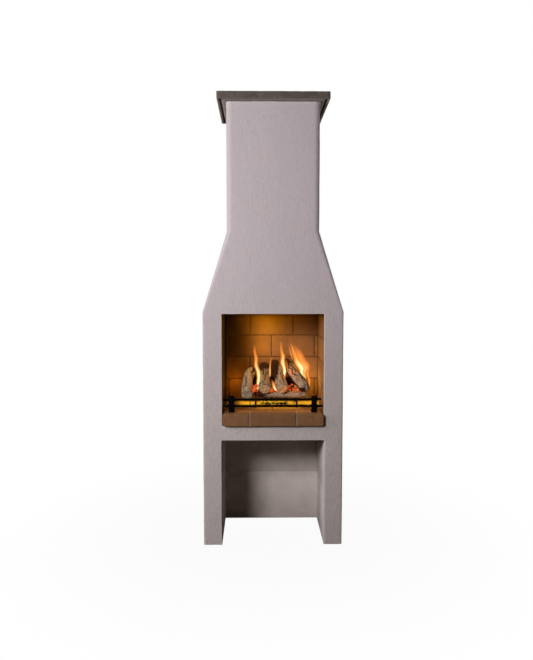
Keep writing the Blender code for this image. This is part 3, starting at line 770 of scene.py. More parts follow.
@dataclass(frozen=True)
class BurningLog:
    """Split firewood with its bark on, sawn at the ends and part burnt.

    The eye gets flaky bark with dark furrows and scars, darkened partly by
    their own colour and partly as painted shade where the skin sinks, a tan
    sawn end with rings, and crazed black char with an ashy bloom where the
    fire has eaten in.
    """

    name: str
    bark: str
    flake: str
    furrow: str
    wood: str = "#c79a6e"
    ring: str = "#94694a"
    char: str = "#2e140a"
    ash: str = "#6e5442"
    roughness: float = 0.92
    specular: float = 0.15
    flake_mm: float = 7.0
    ring_mm: float = 3.0
    char_mm: float = 7.0
    relief_mm: float = 1.6
    flake_span: Span = (0.40, 0.60)
    ring_span: Span = (0.1, 1.0)
    ring_depth: float = 0.6
    ash_span: Span = (0.56, 0.7)
    ash_depth: float = 0.55
    ragged_span: Span = (0.85, 1.1)
    craze_width: float = 0.12

    def eaten(self, tree: Tree, name: str, flake: Source) -> Source:
        """Give the vertex values of a name a ragged edge.

        Args:
            tree: node tree of the material.
            name: name of the vertex values.
            flake: noise that makes the edge ragged.

        Returns:
            Node that gives 0 or 1, with a short ragged step between.
        """
        share = add_node(tree, Node.VALUES, attribute_name=name).outputs["Fac"]
        both = add_node(tree, Node.MATH, {0: share, 1: flake}, operation="ADD")
        return add_node(tree, Node.RAMP, dict(zip(RAMP_INPUTS, (both, *self.ragged_span))))

    def material(self) -> Finish:
        """Build the node material of the log.

        Returns:
            The finished material.
        """
        material, tree = new_tree(self.name)
        place = add_node(tree, Node.PLACE).outputs["Object"]
        grain = (place, per_metre(self.flake_mm), 5.0, 0.7)
        flake = add_node(tree, Node.NOISE, dict(zip(NOISE_INPUTS, grain)))
        cells = {"Vector": place, "Scale": per_metre(self.char_mm)}
        crazing = add_node(tree, Node.CELLS, cells, feature="DISTANCE_TO_EDGE")
        depth, radius = (
            add_node(tree, Node.VALUES, attribute_name=name).outputs["Fac"]
            for name in ("furrow", "ring")
        )
        turns = {0: radius, 1: FULL_TURN / (self.ring_mm * MM)}
        wave = add_node(tree, Node.MATH, turns, operation="MULTIPLY")
        rings = add_node(tree, Node.MATH, {0: wave}, operation="SINE")
        flaked, ringed, ashy, crazed = (
            add_node(tree, Node.RAMP, dict(zip(RAMP_INPUTS, (value, *span, top))))
            for value, span, top in (
                (flake, self.flake_span, 1.0),
                (rings, self.ring_span, self.ring_depth),
                (flake, self.ash_span, self.ash_depth),
                (crazing, (0.0, self.craze_width), 1.0),
            )
        )
        sawn, burnt = (self.eaten(tree, name, flake) for name in ("sawn", "char"))
        bark, wood, char = (
            add_node(tree, Node.MIX, {0: share, 6: srgb(under), 7: srgb(over)}, data_type="RGBA")
            for share, under, over in (
                (flaked, self.bark, self.flake),
                (ringed, self.wood, self.ring),
                (ashy, self.char, self.ash),
            )
        )
        colour: Paint = bark
        # Furrows and scars are darkened where the skin sinks: partly the bark's own dark colour and
        # partly painted shade.
        for share, over in ((depth, srgb(self.furrow)), (sawn, wood), (burnt, char)):
            colour = add_node(tree, Node.MIX, {0: share, 6: colour, 7: over}, data_type="RGBA")
        height = add_node(tree, Node.MIX, {0: burnt, 2: flake, 3: crazed}, data_type="FLOAT")
        surface(tree, colour, self.roughness, height, self.relief_mm, self.specular)
        return material


@dataclass(frozen=True)
class GlowingCharcoal:
    """Charcoal that glows from inside, under a thin skin of ash.

    The eye gets black lumps with grey ash on their backs and red to orange
    light in the cracks and on the lumps that burn.
    """

    name: str = "charcoal_glowing"
    coal: str = "#120b08"
    ash: str = "#7d6c60"
    red: str = "#c42a0a"
    orange: str = "#ff7a2c"
    roughness: float = 0.95
    specular: float = 0.15
    vein_mm: float = 6.0
    ash_mm: float = 9.0
    relief_mm: float = 1.2
    ash_span: Span = (0.5, 0.64)
    ash_depth: float = 0.45
    hot_span: Span = (0.18, 0.62)
    strength: float = 1.28

    def material(self) -> Finish:
        """Build the node material of the charcoal.

        Returns:
            The finished material.
        """
        material, tree = new_tree(self.name)
        place = add_node(tree, Node.PLACE).outputs["Object"]
        ash, vein = (
            add_node(tree, Node.NOISE, dict(zip(NOISE_INPUTS, (place, per_metre(size), detail))))
            for size, detail in ((self.ash_mm, 4.0), (self.vein_mm, 3.0))
        )
        glow = add_node(tree, Node.VALUES, attribute_name="glow").outputs["Fac"]
        heat = add_node(tree, Node.MATH, {0: glow, 1: vein}, operation="MULTIPLY")
        ashy, hot = (
            add_node(tree, Node.RAMP, dict(zip(RAMP_INPUTS, (value, *span, top))))
            for value, span, top in ((ash, self.ash_span, self.ash_depth), (heat, self.hot_span, 1.0))
        )
        colour, light = (
            add_node(tree, Node.MIX, {0: share, 6: srgb(under), 7: srgb(over)}, data_type="RGBA")
            for share, under, over in ((ashy, self.coal, self.ash), (hot, self.red, self.orange))
        )
        strength = add_node(tree, Node.MATH, {0: hot, 1: self.strength}, operation="MULTIPLY")
        shine = {"Emission Color": light, "Emission Strength": strength}
        surface(tree, colour, self.roughness, vein, self.relief_mm, self.specular, shine=shine)
        return material


@dataclass(frozen=True)
class WoodFlame:
    """Flame of burning wood gas.

    The eye gets a soft orange edge round a yellow to white core, and a tip
    that fades into the air.
    """

    name: str = "flame_wood_gas"
    edge: str = "#fb8c3c"
    middle: str = "#ffa040"
    core: str = "#ffeaa8"
    edge_strength: float = 0.9
    core_strength: float = 1.4
    middle_span: Span = (0.0, 0.5)
    core_span: Span = (0.45, 0.9)

    def material(self) -> Finish:
        """Build the node material of the flame.

        Returns:
            The finished material.
        """
        material, tree = new_tree(self.name)
        heat, body = (
            add_node(tree, Node.VALUES, attribute_name=name).outputs["Fac"]
            for name in ("hotness", "body")
        )
        colour: Paint = srgb(self.edge)
        for span, over in ((self.middle_span, self.middle), (self.core_span, self.core)):
            share = add_node(tree, Node.RAMP, dict(zip(RAMP_INPUTS, (heat, *span))))
            colour = add_node(tree, Node.MIX, {0: share, 6: colour, 7: srgb(over)}, data_type="RGBA")
        power = {"Value": heat, "To Min": self.edge_strength, "To Max": self.core_strength}
        glow = {"Color": colour, "Strength": add_node(tree, Node.RAMP, power)}
        light = add_node(tree, Node.LIGHT, glow)
        blend = {0: body, 1: add_node(tree, Node.CLEAR), 2: light}
        add_node(tree, Node.OUTPUT, {"Surface": add_node(tree, Node.BLEND, blend)})
        return material


@dataclass
class Modules:
    """Precast pumice courses, with their moulded edges eased."""

    edge: float = 0.0014
    nodes: tuple[str, ...] = (
        "base_module_1",
        "base_module_2",
        "shelf_slab",
        "casing_module_1",
        "casing_module_2",
        "hood_module_1",
        "hood_module_2",
        "chimney_module_1",
        "chimney_module_2",
        "chimney_module_3",
    )

    def build(self, finish: Finish) -> None:
        """Make each module from its CAD shape and dress it.

        Args:
            finish: material of the precast concrete.
        """
        for node in self.nodes:
            piece = eased_copy(node, f"{node}_cast", self.edge, finish)
            install(piece, Body.FIREPLACE, Slot.PUMICE, node)


@dataclass
class RenderCoat:
    """Coat of render over the whole outside, open at fire and store."""

    width: float = 0.700
    depth: float = 0.450
    chimney_width: float = 0.458
    thickness: float = 0.0078
    corner: float = 0.008
    chimney_corner: float = 0.026
    lip: float = 0.005
    ragged: float = 0.0014
    ragged_lump: float = 0.022
    arris: float = 0.0030
    arris_paleness: float = 0.5
    arris_steps: int = 3
    corner_steps: int = 8
    cell: float = 0.011
    fire_half: float = 0.2534
    fire_sill: float = 0.6116
    fire_head: float = 1.1705
    store_half: float = 0.2567
    store_head: float = 0.5366
    shoulder: float = 1.1805
    neck: float = 1.5765
    wear: tuple[Wear, ...] = (Wear(0.0014, 0.120, 11), Wear(0.0008, (0.026, 0.026, 0.050), 12))

    def spaced(self, marks: Sequence[float], scale: float = 1.0) -> np.ndarray:
        """Fill the gaps between marks with even steps.

        Args:
            marks: rising positions that have to be kept.
            scale: metres for each unit of the marks.

        Returns:
            All positions, rising.
        """
        filled = [np.array([marks[0]])]
        for low, high in zip(marks, marks[1:]):
            count = max(1, math.ceil((high - low) * scale / self.cell))
            filled.append(np.linspace(low, high, count + 1)[1:])
        return np.concatenate(filled)

    def columns(self) -> np.ndarray:
        """Return the plan outline as rows of four numbers.

        Returns:
            Shares of the half width and depth between the corners, and the
            outward normal.
        """
        reach = self.width / 2 - self.corner
        marks = [-1.0, -self.store_half / reach, -self.fire_half / reach]
        marks += [-mark for mark in reversed(marks)]
        front = self.spaced(marks, reach)
        side = self.spaced([-1.0, 1.0], self.depth / 2 - self.corner)
        turns = np.linspace(0, math.pi / 2, self.corner_steps + 1)[1:-1]
        rows = [[s, -1.0, 0.0, -1.0] for s in front]

        def corner(x: float, y: float, start: float) -> None:
            """Add the points inside one rounded corner."""
            rows.extend([x, y, math.cos(turn), math.sin(turn)] for turn in turns + start)

        corner(1.0, -1.0, -math.pi / 2)
        rows += [[1.0, t, 1.0, 0.0] for t in side]
        corner(1.0, 1.0, 0.0)
        rows += [[-s, 1.0, 0.0, 1.0] for s in front]
        corner(-1.0, 1.0, math.pi / 2)
        rows += [[-1.0, -t, -1.0, 0.0] for t in side]
        corner(-1.0, -1.0, math.pi)
        return np.array(rows)

    def half_and_corner(self, z: np.ndarray) -> np.ndarray:
        """Return the half width and the corner radius at each level.

        Args:
            z: levels above the ground.

        Returns:
            Two rows with a number for each level.
        """
        heights = (self.shoulder, self.neck)
        half = np.interp(z, heights, (self.width / 2, self.chimney_width / 2))
        return np.stack([half, np.interp(z, heights, (self.corner, self.chimney_corner))])

    def build(self, finish: Finish) -> None:
        """Make the coat as one closed shell with rounded arrises.

        Args:
            finish: material of the render.
        """
        low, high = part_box("render_coat")
        marks = [low.z, self.store_head, self.fire_sill, self.fire_head, self.shoulder]
        levels = self.spaced(marks + [self.neck, high.z])
        share_x, share_y, nx, ny = self.columns().T
        grid_z, _ = np.meshgrid(levels, share_x, indexing="ij")
        half, corner = self.half_and_corner(levels)[..., None]
        x = share_x * (half - corner) + nx * corner
        y = share_y * (self.depth / 2 - corner) + ny * corner
        points = np.stack([x, y, grid_z], -1)
        normals = np.stack([nx, ny, np.zeros_like(nx)], -1)
        tangents = np.stack([-ny, nx, np.zeros_like(nx)], -1)
        rows, count = x.shape
        kept = np.ones((rows - 1, count), bool)
        middle_z = (levels[1:] + levels[:-1]) / 2
        middle_x = (x[0] + np.roll(x[0], -1)) / 2
        ahead = ny == -1
        front = ahead & np.roll(ahead, -1)
        for half_gap, sill, head in (
            (self.fire_half, self.fire_sill, self.fire_head),
            (self.store_half, 0.0, self.store_head),
        ):
            across = front & (np.abs(middle_x) < half_gap)
            upright = (middle_z > sill) & (middle_z < head)
            kept[np.ix_(upright, across)] = False
        padded = np.zeros((rows + 1, count), bool)
        padded[1:-1] = kept
        below = padded[:-1].astype(int)
        above = padded[1:].astype(int)
        left_below, left_above = np.roll(below, 1, axis=1), np.roll(above, 1, axis=1)
        step_x = np.sign(left_below + left_above - below - above)
        step_z = np.sign(left_below + below - left_above - above)
        reach = step_x[..., None] * tangents[None] + step_z[..., None] * np.array([0.0, 0.0, 1.0])
        rim = (step_x != 0) | (step_z != 0)
        ragged = Noise(41).at(points.reshape(-1, 3), self.ragged_lump).reshape(x.shape)
        points[-1, :, 2] -= self.ragged * (1 + ragged[-1])
        points[-1] += normals * (self.lip * (0.6 + 0.4 * ragged[-1]))[:, None]
        index = np.arange(rows * count).reshape(rows, count)
        after = np.roll(index, -1, axis=1)
        quads = np.stack([index[:-1], after[:-1], after[1:], index[1:]], -1)[kept]
        layers = []
        for step in range(self.arris_steps + 1):
            turn = step / self.arris_steps * math.pi / 2
            back = self.arris * (1 - math.sin(turn))
            deep = self.arris * (1 - math.cos(turn))
            layers.append(points - reach * back - normals[None] * deep)
        layers.append(points - normals[None] * self.thickness)
        outer = {tuple(map(int, quad)) for quad in quads}
        edges = {(quad[i], quad[(i + 1) % 4]) for quad in outer for i in range(4)}
        bounds = [edge for edge in edges if (edge[1], edge[0]) not in edges]
        size = rows * count
        faces: list[Face] = sorted(outer)
        last = len(layers) - 1
        for start, end in sorted(bounds):
            for layer in range(last):
                near, far = layer * size, (layer + 1) * size
                faces.append((end + near, start + near, start + far, end + far))
        faces += [tuple(i + last * size for i in reversed(quad)) for quad in sorted(outer)]
        skin = Skin(np.concatenate([layer.reshape(-1, 3) for layer in layers]), faces)
        loose = np.repeat([1.0] * last + [0.0], size)
        arris = loose * np.tile(rim.ravel(), len(layers))
        skin.valued(arris=arris * self.arris_paleness, loose=loose)
        piece = make_piece("render_coat_brushed", skin, finish, crease=50)
        roughen(piece, self.wear, share="loose")
        install(piece, Body.FIREPLACE, Slot.RENDER, "render_coat")


@dataclass
class CapSlab:
    """Dark cast stone slab with a flue hole and a drip groove below."""

    half: float = 0.273
    hole_half: float = 0.125
    edge: float = 0.0028
    hole_edge: float = 0.003
    plan_corner: float = 0.009
    least_corner: float = 0.001
    groove_start: float = 0.013
    groove_end: float = 0.023
    groove_depth: float = 0.008
    groove_ease: float = 0.0012
    cell: float = 0.008
    arc_steps: int = 4
    bloom: float = 0.75
    bloom_rise: float = 0.0006
    wear: tuple[Wear, ...] = (Wear(0.0010, 0.014, 21), Wear(0.0006, 0.045, 22))

    def profile(self, bottom: float, top: float) -> list[Span]:
        """Return the section as insets from the outer edge and levels.

        Args:
            bottom: underside of the slab.
            top: upper side of the slab.

        Returns:
            Points of the closed section.
        """
        hole = self.half - self.hole_half
        points: list[Span] = []

        def arc(inset: float, level: float, radius: float, start: float) -> None:
            """Add a quarter round about a centre.

            Args:
                inset: inset of the centre.
                level: level of the centre.
                radius: radius of the round.
                start: angle in degrees that it starts at and falls from.
            """
            for step in range(self.arc_steps + 1):
                angle = math.radians(start - 90 * step / self.arc_steps)
                points.append((inset + radius * math.cos(angle), level + radius * math.sin(angle)))

        def run(start: Span, end: Span) -> None:
            """Add the points between two ends.

            Args:
                start: inset and level of one end.
                end: inset and level of the other.
            """
            count = max(1, math.ceil(math.dist(start, end) / self.cell))
            for step in range(1, count):
                t = step / count
                points.append(tuple(a + (b - a) * t for a, b in zip(start, end)))

        edge, inner, ease = self.edge, self.hole_edge, self.groove_ease
        arc(edge, bottom + edge, edge, 270)
        run((0, bottom + edge), (0, top - edge))
        arc(edge, top - edge, edge, 180)
        run((edge, top), (hole - inner, top))
        arc(hole - inner, top - inner, inner, 90)
        run((hole, top - inner), (hole, bottom + inner))
        arc(hole - inner, bottom + inner, inner, 0)
        run((hole - inner, bottom), (self.groove_end + ease, bottom))
        roof = bottom + self.groove_depth
        levels = (bottom, bottom + ease, roof)
        for side, rise in ((self.groove_end, levels), (self.groove_start, levels[::-1])):
            points.extend((side + shift, level) for shift, level in zip((ease, 0.0, -ease), rise))
        return points

    def build(self, finish: Finish) -> None:
        """Sweep the section round the square and roughen it.

        Args:
            finish: material of the cast stone.
        """
        low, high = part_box("cap_slab")
        section = self.profile(low.z, high.z)
        side = math.ceil(2 * self.half / self.cell)
        rings = []
        for inset, level in section:
            half = self.half - inset
            radius = max(self.plan_corner - inset, self.least_corner)
            ring = []
            for quarter in range(4):
                turn = quarter * math.pi / 2
                cos, sin = round(math.cos(turn)), round(math.sin(turn))
                flat = [(half, t * (half - radius)) for t in np.linspace(-1, 1, side + 1)]
                for step in range(1, self.arc_steps):
                    angle = step / self.arc_steps * math.pi / 2
                    dx = half - radius + radius * math.cos(angle)
                    flat.append((dx, half - radius + radius * math.sin(angle)))
                ring += [(cos * u - sin * v, sin * u + cos * v, level) for u, v in flat]
            rings.append(ring)
        rings.append(rings[0])
        skin = ring_tube(np.array(rings))
        size = len(rings[0])
        start = (len(rings) - 1) * size
        wrapped = [tuple(i - start if i >= start else i for i in face) for face in skin.faces[:-2]]
        # Painted light: the underside of the slab is painted paler, as if lit from below.
        under = low.z + self.bloom_rise
        underside_light = [self.bloom if level < under else 0.0 for _, level in section + section[:1]]
        dressed = Skin(skin.points, wrapped).valued(bloom=np.repeat(underside_light, size))
        piece = make_piece("cap_slab_cast", dressed, finish, crease=60)
        roughen(piece, self.wear)
        install(piece, Body.FIREPLACE, Slot.STONE, "cap_slab")


@dataclass
class Brickwork:
    """Firebrick courses of the firebox walls and floor, and their mortar."""

    length: float = 0.230
    height: float = 0.114
    joint: float = 0.005
    recess: float = 0.0014
    edge: float = 0.0013
    cell: float = 0.012
    tuck: float = 0.004
    seat: float = 0.0003
    lining: float = 0.030
    floor: float = 0.064
    half: float = 0.2534
    front_y: float = -0.2167
    hearth_front_y: float = -0.245
    lining_back_y: float = 0.1584
    foot: float = 0.6839
    hearth_bottom: float = 0.6119
    hearth_top: float = 0.6759
    head: float = 1.1599
    courses: int = 4
    floor_courses: int = 3
    most_joints: int = 8
    sunk: float = 0.0008
    uneven: float = 0.0006
    tones: Span = (0.0, 0.85)
    bed_edge: float = 0.0008
    brick_wear: tuple[Wear, ...] = (Wear(0.0009, 0.022, 33), Wear(0.0005, 0.009, 43))
    bed_wear: tuple[Wear, ...] = (Wear(0.0008, 0.006, 35),)

    def soot(self, points: np.ndarray) -> np.ndarray:
        """Return how much soot and painted shade darken the firebox at each point.

        Args:
            points: positions on the brickwork.

        Returns:
            A share from 0 to 1 for each.
        """
        x, y, z = points.T
        # Painted shade as well as soot: the left of the back wall, the left wall, the upper right
        # corner and the top under the head are darkened where the firebox lies in shadow, more so
        # further back; the patchy noise is soot alone.
        left = smooth(-0.09, -0.22, x) * (0.2 + 0.7 * smooth(0.80, 1.10, z))
        side = smooth(-0.242, -0.250, x) * 0.93
        right = smooth(0.16, 0.26, x) * 0.35 * smooth(0.95, 1.15, z)
        head = smooth(1.125, 1.165, z) * 0.75
        deep = smooth(-0.10, 0.05, y)
        patchy = 0.10 * Noise(31).at(points, 0.06)
        total = 1 - (1 - left) * (1 - right) * (1 - head) * (1 - side)
        return np.clip(total * np.maximum(0.3 + 0.7 * deep, side) + patchy * deep, 0, 0.95)

    def placed(self, wall: Wall, skin: Skin) -> Skin:
        """Turn a skin from course coordinates to its place on a wall.

        Args:
            wall: wall that carries the course.
            skin: positions along the course, across it and out of the wall.

        Returns:
            The skin in the frame of the fireplace.
        """
        u, v, out = skin.points.T
        edge = self.half + self.lining
        places = {
            Wall.BACK: (u, self.lining_back_y - out, v),
            Wall.LEFT: (-edge + out, u, v),
            Wall.RIGHT: (edge - out, u, v),
            Wall.FLOOR: (u, v, self.hearth_bottom + out),
        }
        skin.points = np.stack(places[wall], -1)
        return skin

    def joints(self, low: float, high: float, first: float) -> list[float]:
        """Return the head joints between two ends.

        Args:
            low: one end of the course.
            high: the other end.
            first: middle of the first joint that is tried.

        Returns:
            Middles of the joints, rising.
        """
        pitch = self.length + self.joint
        found = [first + pitch * i for i in range(self.most_joints)]
        return [j for j in found if low + self.joint < j < high - self.joint]

    def course(
        self,
        wall: Wall,
        span: Span,
        joints: Sequence[float],
        rise: Span,
        thickness: float,
        seed: int,
    ) -> tuple[list[Skin], list[Skin]]:
        """Make the bricks and the mortar of one course.

        Args:
            wall: wall that carries the course.
            span: two ends along the course.
            joints: middles of the head joints.
            rise: lower and upper level of the course, or front and back.
            thickness: thickness of the bricks.
            seed: seed of the small differences between bricks.

        Returns:
            Skins of the bricks and skins of the mortar.
        """
        draw = np.random.RandomState(seed)
        half = self.joint / 2
        starts = [span[0]] + [j + half for j in joints]
        ends = [j - half for j in joints] + [span[1]]
        top = rise[1] - self.joint
        bricks = []
        for start, end in zip(starts, ends):
            sink = draw.uniform(0.0, self.sunk)
            low = (start, rise[0], 0.0)
            high = (end, top + draw.uniform(-self.uneven, self.uneven), thickness - sink)
            skin = self.placed(wall, block(low, high, self.edge, self.cell))
            skin.valued(tone=draw.uniform(*self.tones), soot=self.soot(skin.points))
            bricks.append(skin)
        struck = thickness - self.recess
        beds = [((span[0], top - self.tuck, 0.0), (span[1], rise[1] + self.tuck, struck))]
        for j in joints:
            low = (j - half - self.tuck, rise[0] - self.tuck, 0.0)
            beds.append((low, (j + half + self.tuck, rise[1], struck)))
        return bricks, [self.placed(wall, block(*bed, self.bed_edge, self.cell)) for bed in beds]

    def build(self, brick: Finish, mortar: Finish) -> None:
        """Make every course of the walls and the floor.

        Args:
            brick: material of the bricks.
            mortar: material of the sooty mortar.
        """
        pitch = self.height + self.joint
        whole = self.length + self.joint
        half = self.half - self.seat
        face_y = self.lining_back_y - self.lining
        mortars: dict[Wall, list[Skin]] = {wall: [] for wall in Wall}
        for course in range(self.courses):
            bottom = self.foot + course * pitch + self.seat
            top = min(bottom + pitch - self.seat, self.head)
            shift = 0.0 if course % 2 == 0 else whole / 2
            lowest = self.hearth_top + self.seat if course == 0 else bottom
            back_joints = self.joints(-half, half, shift - 2 * whole)
            rows = [(Wall.BACK, (-half, half), back_joints, (lowest, top))]
            span = (self.front_y, self.lining_back_y)
            first = self.front_y + (whole if course % 2 == 0 else whole / 2)
            side_joints = self.joints(self.front_y, face_y, first)
            lowest = self.hearth_bottom if course == 0 else bottom
            for wall in (Wall.LEFT, Wall.RIGHT):
                rows.append((wall, span, side_joints, (lowest, top)))
            for number, (wall, ends, joints, rise) in enumerate(rows):
                seed = 100 + 10 * course + number
                skins, beds = self.course(wall, ends, joints, rise, self.lining, seed)
                mortars[wall] += beds
                self.lay(wall, course + 1, skins, brick)
        for course in range(1, self.floor_courses + 1):
            front = self.hearth_front_y + course * pitch
            back = min(front + pitch - self.seat, self.lining_back_y)
            joints = self.joints(-half, half, (0.0 if course % 2 else whole / 2) - 2 * whole)
            skins, beds = self.course(
                Wall.FLOOR, (-half, half), joints, (front, back), self.floor, 150 + course
            )
            mortars[Wall.FLOOR] += beds
            self.lay(Wall.FLOOR, course + 1, skins, brick)
        for wall, beds in mortars.items():
            piece = make_piece(f"{wall.value}_mortar", joined(beds), mortar, crease=50)
            roughen(piece, self.bed_wear)
            install(piece, Body.FIREPLACE, Slot.MORTAR)

    def lay(self, wall: Wall, number: int, skins: list[Skin], brick: Finish) -> None:
        """Install one course of bricks in place of its CAD node.

        Args:
            wall: wall that carries the course.
            number: number of the course in its node's name.
            skins: the bricks.
            brick: material of the bricks.
        """
        piece = make_piece(f"{wall.value}_bricks_{number}", joined(skins), brick, crease=50)
        roughen(piece, self.brick_wear, number)
        install(piece, Body.FIREPLACE, Slot.BRICK, f"{wall.value}_brick_course_{number}")


@dataclass
class HearthRow:
    """Front row of hearth bricks, standing out of the render."""

    edge: float = 0.004
    end_radius: float = 0.013
    cell: float = 0.007
    # Even soot on the hearth bricks, with no painted shade.
    soot: float = 0.08
    tones: tuple[tuple[str, float], ...] = (("left", 0.25), ("middle", 0.45), ("right", 0.15))
    joint_reach: float = 0.0035
    joint_edge: float = 0.0008
    joint_cell: float = 0.006
    brick_wear: tuple[Wear, ...] = (Wear(0.0012, 0.030, 61), Wear(0.0009, 0.010, 71))
    joint_wear: tuple[Wear, ...] = (Wear(0.0006, 0.005, 81),)

    def round_end(self, skin: Skin, outer_x: float, side: int, low: float, high: float) -> None:
        """Round the two long edges at the outer end of a brick.

        Args:
            skin: block to change.
            outer_x: X of the outer end.
            side: -1 for the left end and 1 for the right one.
            low: bottom of the brick.
            high: top of the brick.
        """
        radius = self.end_radius
        inner_x = outer_x - side * radius
        x, y, z = skin.points.T
        across = side * (x - inner_x)
        for centre, way in ((low + radius, -1), (high - radius, 1)):
            upright = way * (z - centre)
            inside = (across > 0) & (upright > 0)
            longest = np.maximum(across, upright)
            length = np.hypot(across, upright)
            scale = np.where(inside, longest / np.where(length > 0, length, 1), 1.0)
            z = np.where(inside, centre + way * upright * scale, z)
            x = np.where(inside, inner_x + side * across * scale, x)
            across = side * (x - inner_x)
        skin.points = np.stack([x, y, z], -1)

    def build(self, brick: Finish, mortar: Finish) -> None:
        """Make the three bricks and the two joints.

        Args:
            brick: material of the bricks.
            mortar: material of the clean mortar.
        """
        for number, (name, tone) in enumerate(self.tones):
            node = f"hearth_brick_{name}"
            low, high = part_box(node)
            skin = block(low, high, self.edge, self.cell)
            if name == "left":
                self.round_end(skin, low.x, -1, low.z, high.z)
            if name == "right":
                self.round_end(skin, high.x, 1, low.z, high.z)
            skin.valued(tone=tone, soot=self.soot)
            piece = make_piece(f"{node}_pressed", skin, brick, crease=50)
            roughen(piece, self.brick_wear, number)
            install(piece, Body.FIREPLACE, Slot.BRICK, node)
        for name in ("left", "right"):
            node = f"hearth_joint_{name}"
            low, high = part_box(node)
            reach = Vector((self.joint_reach, 0, 0))
            skin = block(low - reach, high + reach, self.joint_edge, self.joint_cell)
            piece = make_piece(f"{node}_struck", skin, mortar, crease=50)
            roughen(piece, self.joint_wear)
            install(piece, Body.FIREPLACE, Slot.MORTAR, node)


@dataclass
class GuardRail:
    """Black rail of two plates with feet and two round bars."""

    plate_edge: float = 0.0009
    bar_sides: int = 24
    bar_rings: int = 24
    bar_ends: float = 0.02
    dome: float = 0.0015
    bead_radius: float = 0.0022
    bead_sides: int = 10
    bead_rings: int = 17
    bead_share: float = 0.8
    bead_rise: float = 0.0010
    bead_sink: float = 0.0008
    wear: tuple[Wear, ...] = (Wear(0.0003, 0.008, 91),)

    def rod(self, sections: Sequence[Span], centre: Vector, sides: int) -> Skin:
        """Return a round rod along X.

        Args:
            sections: X and radius of each ring.
            centre: point on the axis.
            sides: points of a ring.

        Returns:
            The skin of the rod.
        """
        turns = np.linspace(0, FULL_TURN, sides, endpoint=False)
        rings = [
            [(x, centre.y + r * math.cos(a), centre.z + r * math.sin(a)) for a in turns]
            for x, r in sections
        ]
        return ring_tube(np.array(rings))

    def bar(self, node: str, finish: Finish) -> None:
        """Make one round bar with eased ends.

        Args:
            node: CAD node that it replaces.
            finish: material of the painted steel.
        """
        low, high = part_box(node)
        radius = (high.z - low.z) / 2
        middle = (low + high) / 2
        ends = [(0.0, 0.45), (0.0, 0.8), (self.dome * 0.4, 0.94), (self.dome, 1.0)]
        sections = [(low.x + inset, size) for inset, size in ends]
        inner = (low.x + self.bar_ends, high.x - self.bar_ends)
        sections += [(x, 1.0) for x in np.linspace(*inner, self.bar_rings)]
        sections += [(high.x - inset, size) for inset, size in reversed(ends)]
        rod = self.rod([(x, radius * size) for x, size in sections], middle, self.bar_sides)
        piece = make_piece(f"{node}_painted", rod, finish, crease=50)
        roughen(piece, self.wear)
        install(piece, Body.GUARD, Slot.STEEL, node)

    def bead(self, centre: Vector, width: float) -> Skin:
        """Return a lumpy weld bead along X.

        Args:
            centre: middle of the bead.
            width: length of the bead.

        Returns:
            The skin of the bead.
        """
        sections = []
        for i, t in enumerate(np.linspace(-1, 1, self.bead_rings)):
            swell = math.sqrt(max(1 - t * t, 0.02)) * (0.85 + 0.15 * (i % 2))
            sections.append((centre.x + t * width / 2, self.bead_radius * swell))
        return self.rod(sections, centre, self.bead_sides)

    def build(self, finish: Finish) -> None:
        """Make the plates, the bars and the welds between them.

        Args:
            finish: material of the painted steel.
        """
        for side in ("left", "right"):
            node = f"guard_plate_{side}"
            piece = eased_copy(node, f"{node}_painted", self.plate_edge, finish)
            install(piece, Body.GUARD, Slot.STEEL, node)
        beads = []
        for node in ("guard_bar_upper", "guard_bar_lower"):
            self.bar(node, finish)
            low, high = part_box(node)
            for side in ("left", "right"):
                plate_low, plate_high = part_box(f"guard_plate_{side}")
                x = (plate_low.x + plate_high.x) / 2
                width = (plate_high.x - plate_low.x) * self.bead_share
                for z in (low.z + self.bead_rise, high.z - self.bead_rise):
                    beads.append(self.bead(Vector((x, low.y + self.bead_sink, z)), width))
        piece = make_piece("guard_welds", joined(beads), finish, crease=60)
        install(piece, Body.GUARD, Slot.STEEL)


@dataclass
class Grate:
    """Cast iron grate under the logs."""

    edge: float = 0.0022

    def build(self, finish: Finish) -> None:
        """Make the grate from its CAD shape.

        Args:
            finish: material of the cast iron.
        """
        piece = eased_copy("log_grate", "log_grate_cast", self.edge, finish)
        install(piece, Body.FIRE, Slot.IRON, "log_grate")


@dataclass(frozen=True)
class Scar:
    """A split or a burnt hollow in a log: its place round and along it."""

    angle: float
    start: float
    end: float
    depth: float
    width: float = 0.22


@dataclass(frozen=True)
class Log:
    """One log, from its lower or left end to the other.

    Each row of the shape gives a place along the log from 0 to 1, and then
    the radius, the shift to the left and the shift upwards there in mm. The
    char is worked out from the place along the log and from how far up and
    to the left its skin looks. Each end turns in over its length in mm. A
    cleft gives the side that a split face looks to, and how far out it lies.
    """

    node: str
    start: Point
    end: Point
    shape: tuple[tuple[float, float, float, float], ...]
    slot: Slot
    seed: int
    char: Callable[[np.ndarray, np.ndarray, np.ndarray], np.ndarray]
    squash: float = 1.0
    roll: float = 0.0
    ends: Span = (4.0, 6.0)
    sawn: float = 1.0
    clefts: tuple[Span, ...] = ()
    scars: tuple[Scar, ...] = ()


